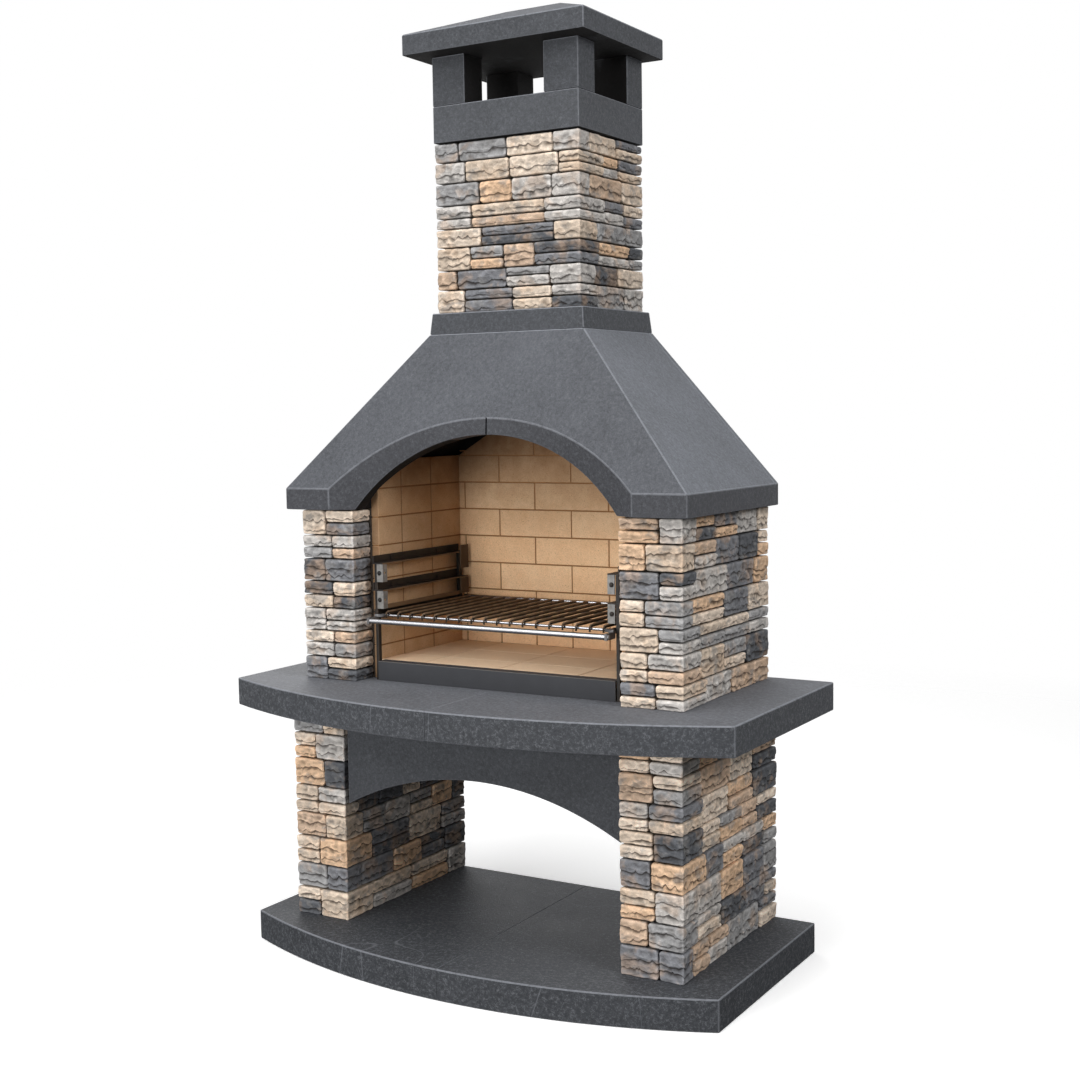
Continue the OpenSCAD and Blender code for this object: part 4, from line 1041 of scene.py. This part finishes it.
softened("grill_frame", 0, CHROME, "chrome", GRILL, sharp=ROD_SHARP, burnt=over_fire,
         under=half_down)
softened("grill_wires", 0, WIRE, "chrome", GRILL, sharp=ROD_SHARP, under=looks_down)
softened("grill_handle_bar", 0, CHROME, "chrome", GRILL, sharp=ROD_SHARP, under=half_down)
softened("grill_handle_caps", STEEL_EDGE, CHROME, "chrome", GRILL, sharp=ROD_SHARP,
         burnt=everywhere)

X, Y, Z = 0, 1, 2
joint_bars("lining_back", along=X, up=Z, face=Y)
joint_bars("lining_left", along=Y, up=Z, face=X)
joint_bars("lining_right", along=Y, up=Z, face=X)
joint_bars("hearth_tiles", along=X, up=Y, face=Z)
seam_filler("base_slab")
seam_filler("worktop")
clip_bolts("left")
clip_bolts("right")

# The CAD nodes get finishes too, for those that no piece replaces
FINISHES = {"concrete": PANEL, "cladding_stone": STONE, "core_block": BLOCK, "firebrick": BRICK,
            "black_steel": BLACK, "plate_steel": PLATE, "chrome": CHROME}
for part in frame["record"]["subparts"]:
    plain = frame["nodes"][part["node"]]
    finish = BLACK if part["node"] == "rack_screws" else FINISHES[part["material_slot"]]
    plain.data.materials.clear()
    plain.data.materials.append(finish)

# The stage: a pale floor and backdrop, soft lamps and the camera

FLOOR_SIZE = 40.0
FLOOR_DROP = 0.5 * MM          # the floor lies this far under the base slab
FADE_FROM, FADE_TO = 2.0, 4.5  # the floor fades out between these distances
SKY_LIGHT = 0.16               # strength of the white world as a light; seen, it is 1


def stage_finish():
    """Plain pale floor that keeps the object's shadow and fades out with distance, so that the
    white world takes its place without a horizon."""
    f = Finish("studio floor", roughness=0.9, specular=0.0)
    shown = f.node("ShaderNodeLightPath", output="Is Camera Ray")
    f.shader.inputs["Emission Strength"].default_value = 1.0
    f.wear(Base_Color=f.mix(shown, srgb(90, 90, 90), srgb(250, 250, 250)),
           Emission_Color=f.mix(shown, srgb(0, 0, 0), srgb(175, 175, 175)))
    distance = f.node("ShaderNodeVectorMath", {"operation": "LENGTH"}, [f.place()], "Value")
    clear = f.node("ShaderNodeBsdfTransparent")
    faded = [distance.above(FADE_FROM, FADE_TO), Value(f, f.shader.outputs[0]), clear]
    mixed = f.node("ShaderNodeMixShader", {}, faded)
    f.links.new(mixed.socket, f.nodes["Material Output"].inputs["Surface"])
    return f.material


half = FLOOR_SIZE / 2
floor_mesh = bpy.data.meshes.new("studio_floor")
corners = ((-1, -1), (1, -1), (1, 1), (-1, 1))
floor_corners = [(x * half, y * half, -FLOOR_DROP) for x, y in corners]
floor_mesh.from_pydata(floor_corners, [], [(0, 1, 2, 3)])
floor_mesh.materials.append(stage_finish())
floor = bpy.data.objects.new("studio_floor", floor_mesh)
bpy.context.scene.collection.objects.link(floor)

world = bpy.data.worlds.new("studio")
bpy.context.scene.world = world
sky = Nodes(world)
background = sky.nodes["Background"]
background.inputs["Color"].default_value = (1, 1, 1, 1)
camera_ray, glossy_ray = (sky.node("ShaderNodeLightPath", output="Is " + kind + " Ray")
                          for kind in ("Camera", "Glossy"))
seen = camera_ray.math("MAXIMUM", glossy_ray)
strength = sky.node("ShaderNodeMapRange", {}, {"Value": seen, "To Min": SKY_LIGHT, "To Max": 1.0})
sky.links.new(strength.socket, background.inputs["Strength"])


def lamp(name, place, target, size, watts):
    """A square soft box at a place, aimed at a target."""
    data = bpy.data.lights.new(name, "AREA")
    data.shape = "SQUARE"
    data.size = size
    data.energy = watts
    light = bpy.data.objects.new(name, data)
    aim = (Vector(target) - Vector(place)).to_track_quat("-Z", "Y")
    light.matrix_world = Matrix.Translation(Vector(place)) @ aim.to_matrix().to_4x4()
    bpy.context.scene.collection.objects.link(light)


lamp("key", (-2.2, -3.8, 3.7), (0, 0, 0.9), 2.0, 50)
lamp("front", (-0.5, -4.9, 0.9), (0, 0, 0.6), 2.2, 140)
lamp("side", (4.0, -1.2, 3.0), (0, 0, 1.3), 2.0, 97)
lamp("top", (0.3, -1.3, 5.2), (0, 0, 1.0), 2.4, 110)
lamp("rear", (-3.6, 3.8, 2.9), (0, 0.2, 1.2), 2.4, 78)

# The camera: place, turn and lens from the photo's perspective
CAMERA_PLACE = (1.9254, -3.0824, 1.3014)
CAMERA_YAW = 0.5385
CAMERA_PITCH = -0.0829
CAMERA_ROLL = -0.0154
CAMERA_LENS = 51.59  # mm, on a sensor 36 mm wide
CAMERA_SENSOR = 36

ahead = Vector((-math.sin(CAMERA_YAW), math.cos(CAMERA_YAW), 0))
right = Vector((math.cos(CAMERA_YAW), math.sin(CAMERA_YAW), 0))
up = Vector((0, 0, 1))
gaze = math.cos(CAMERA_PITCH) * ahead + math.sin(CAMERA_PITCH) * up
tilted = -math.sin(CAMERA_PITCH) * ahead + math.cos(CAMERA_PITCH) * up
camera_right = math.cos(CAMERA_ROLL) * right + math.sin(CAMERA_ROLL) * tilted
camera_up = -math.sin(CAMERA_ROLL) * right + math.cos(CAMERA_ROLL) * tilted
lens = bpy.data.cameras.new("camera")
lens.lens = CAMERA_LENS
lens.sensor_width = CAMERA_SENSOR
camera = bpy.data.objects.new("camera", lens)
turn = Matrix((camera_right, camera_up, -gaze)).transposed().to_4x4()
camera.matrix_world = Matrix.Translation(Vector(CAMERA_PLACE)) @ turn
bpy.context.scene.collection.objects.link(camera)
bpy.context.scene.camera = camera
bpy.context.scene.view_settings.view_transform = "Standard"
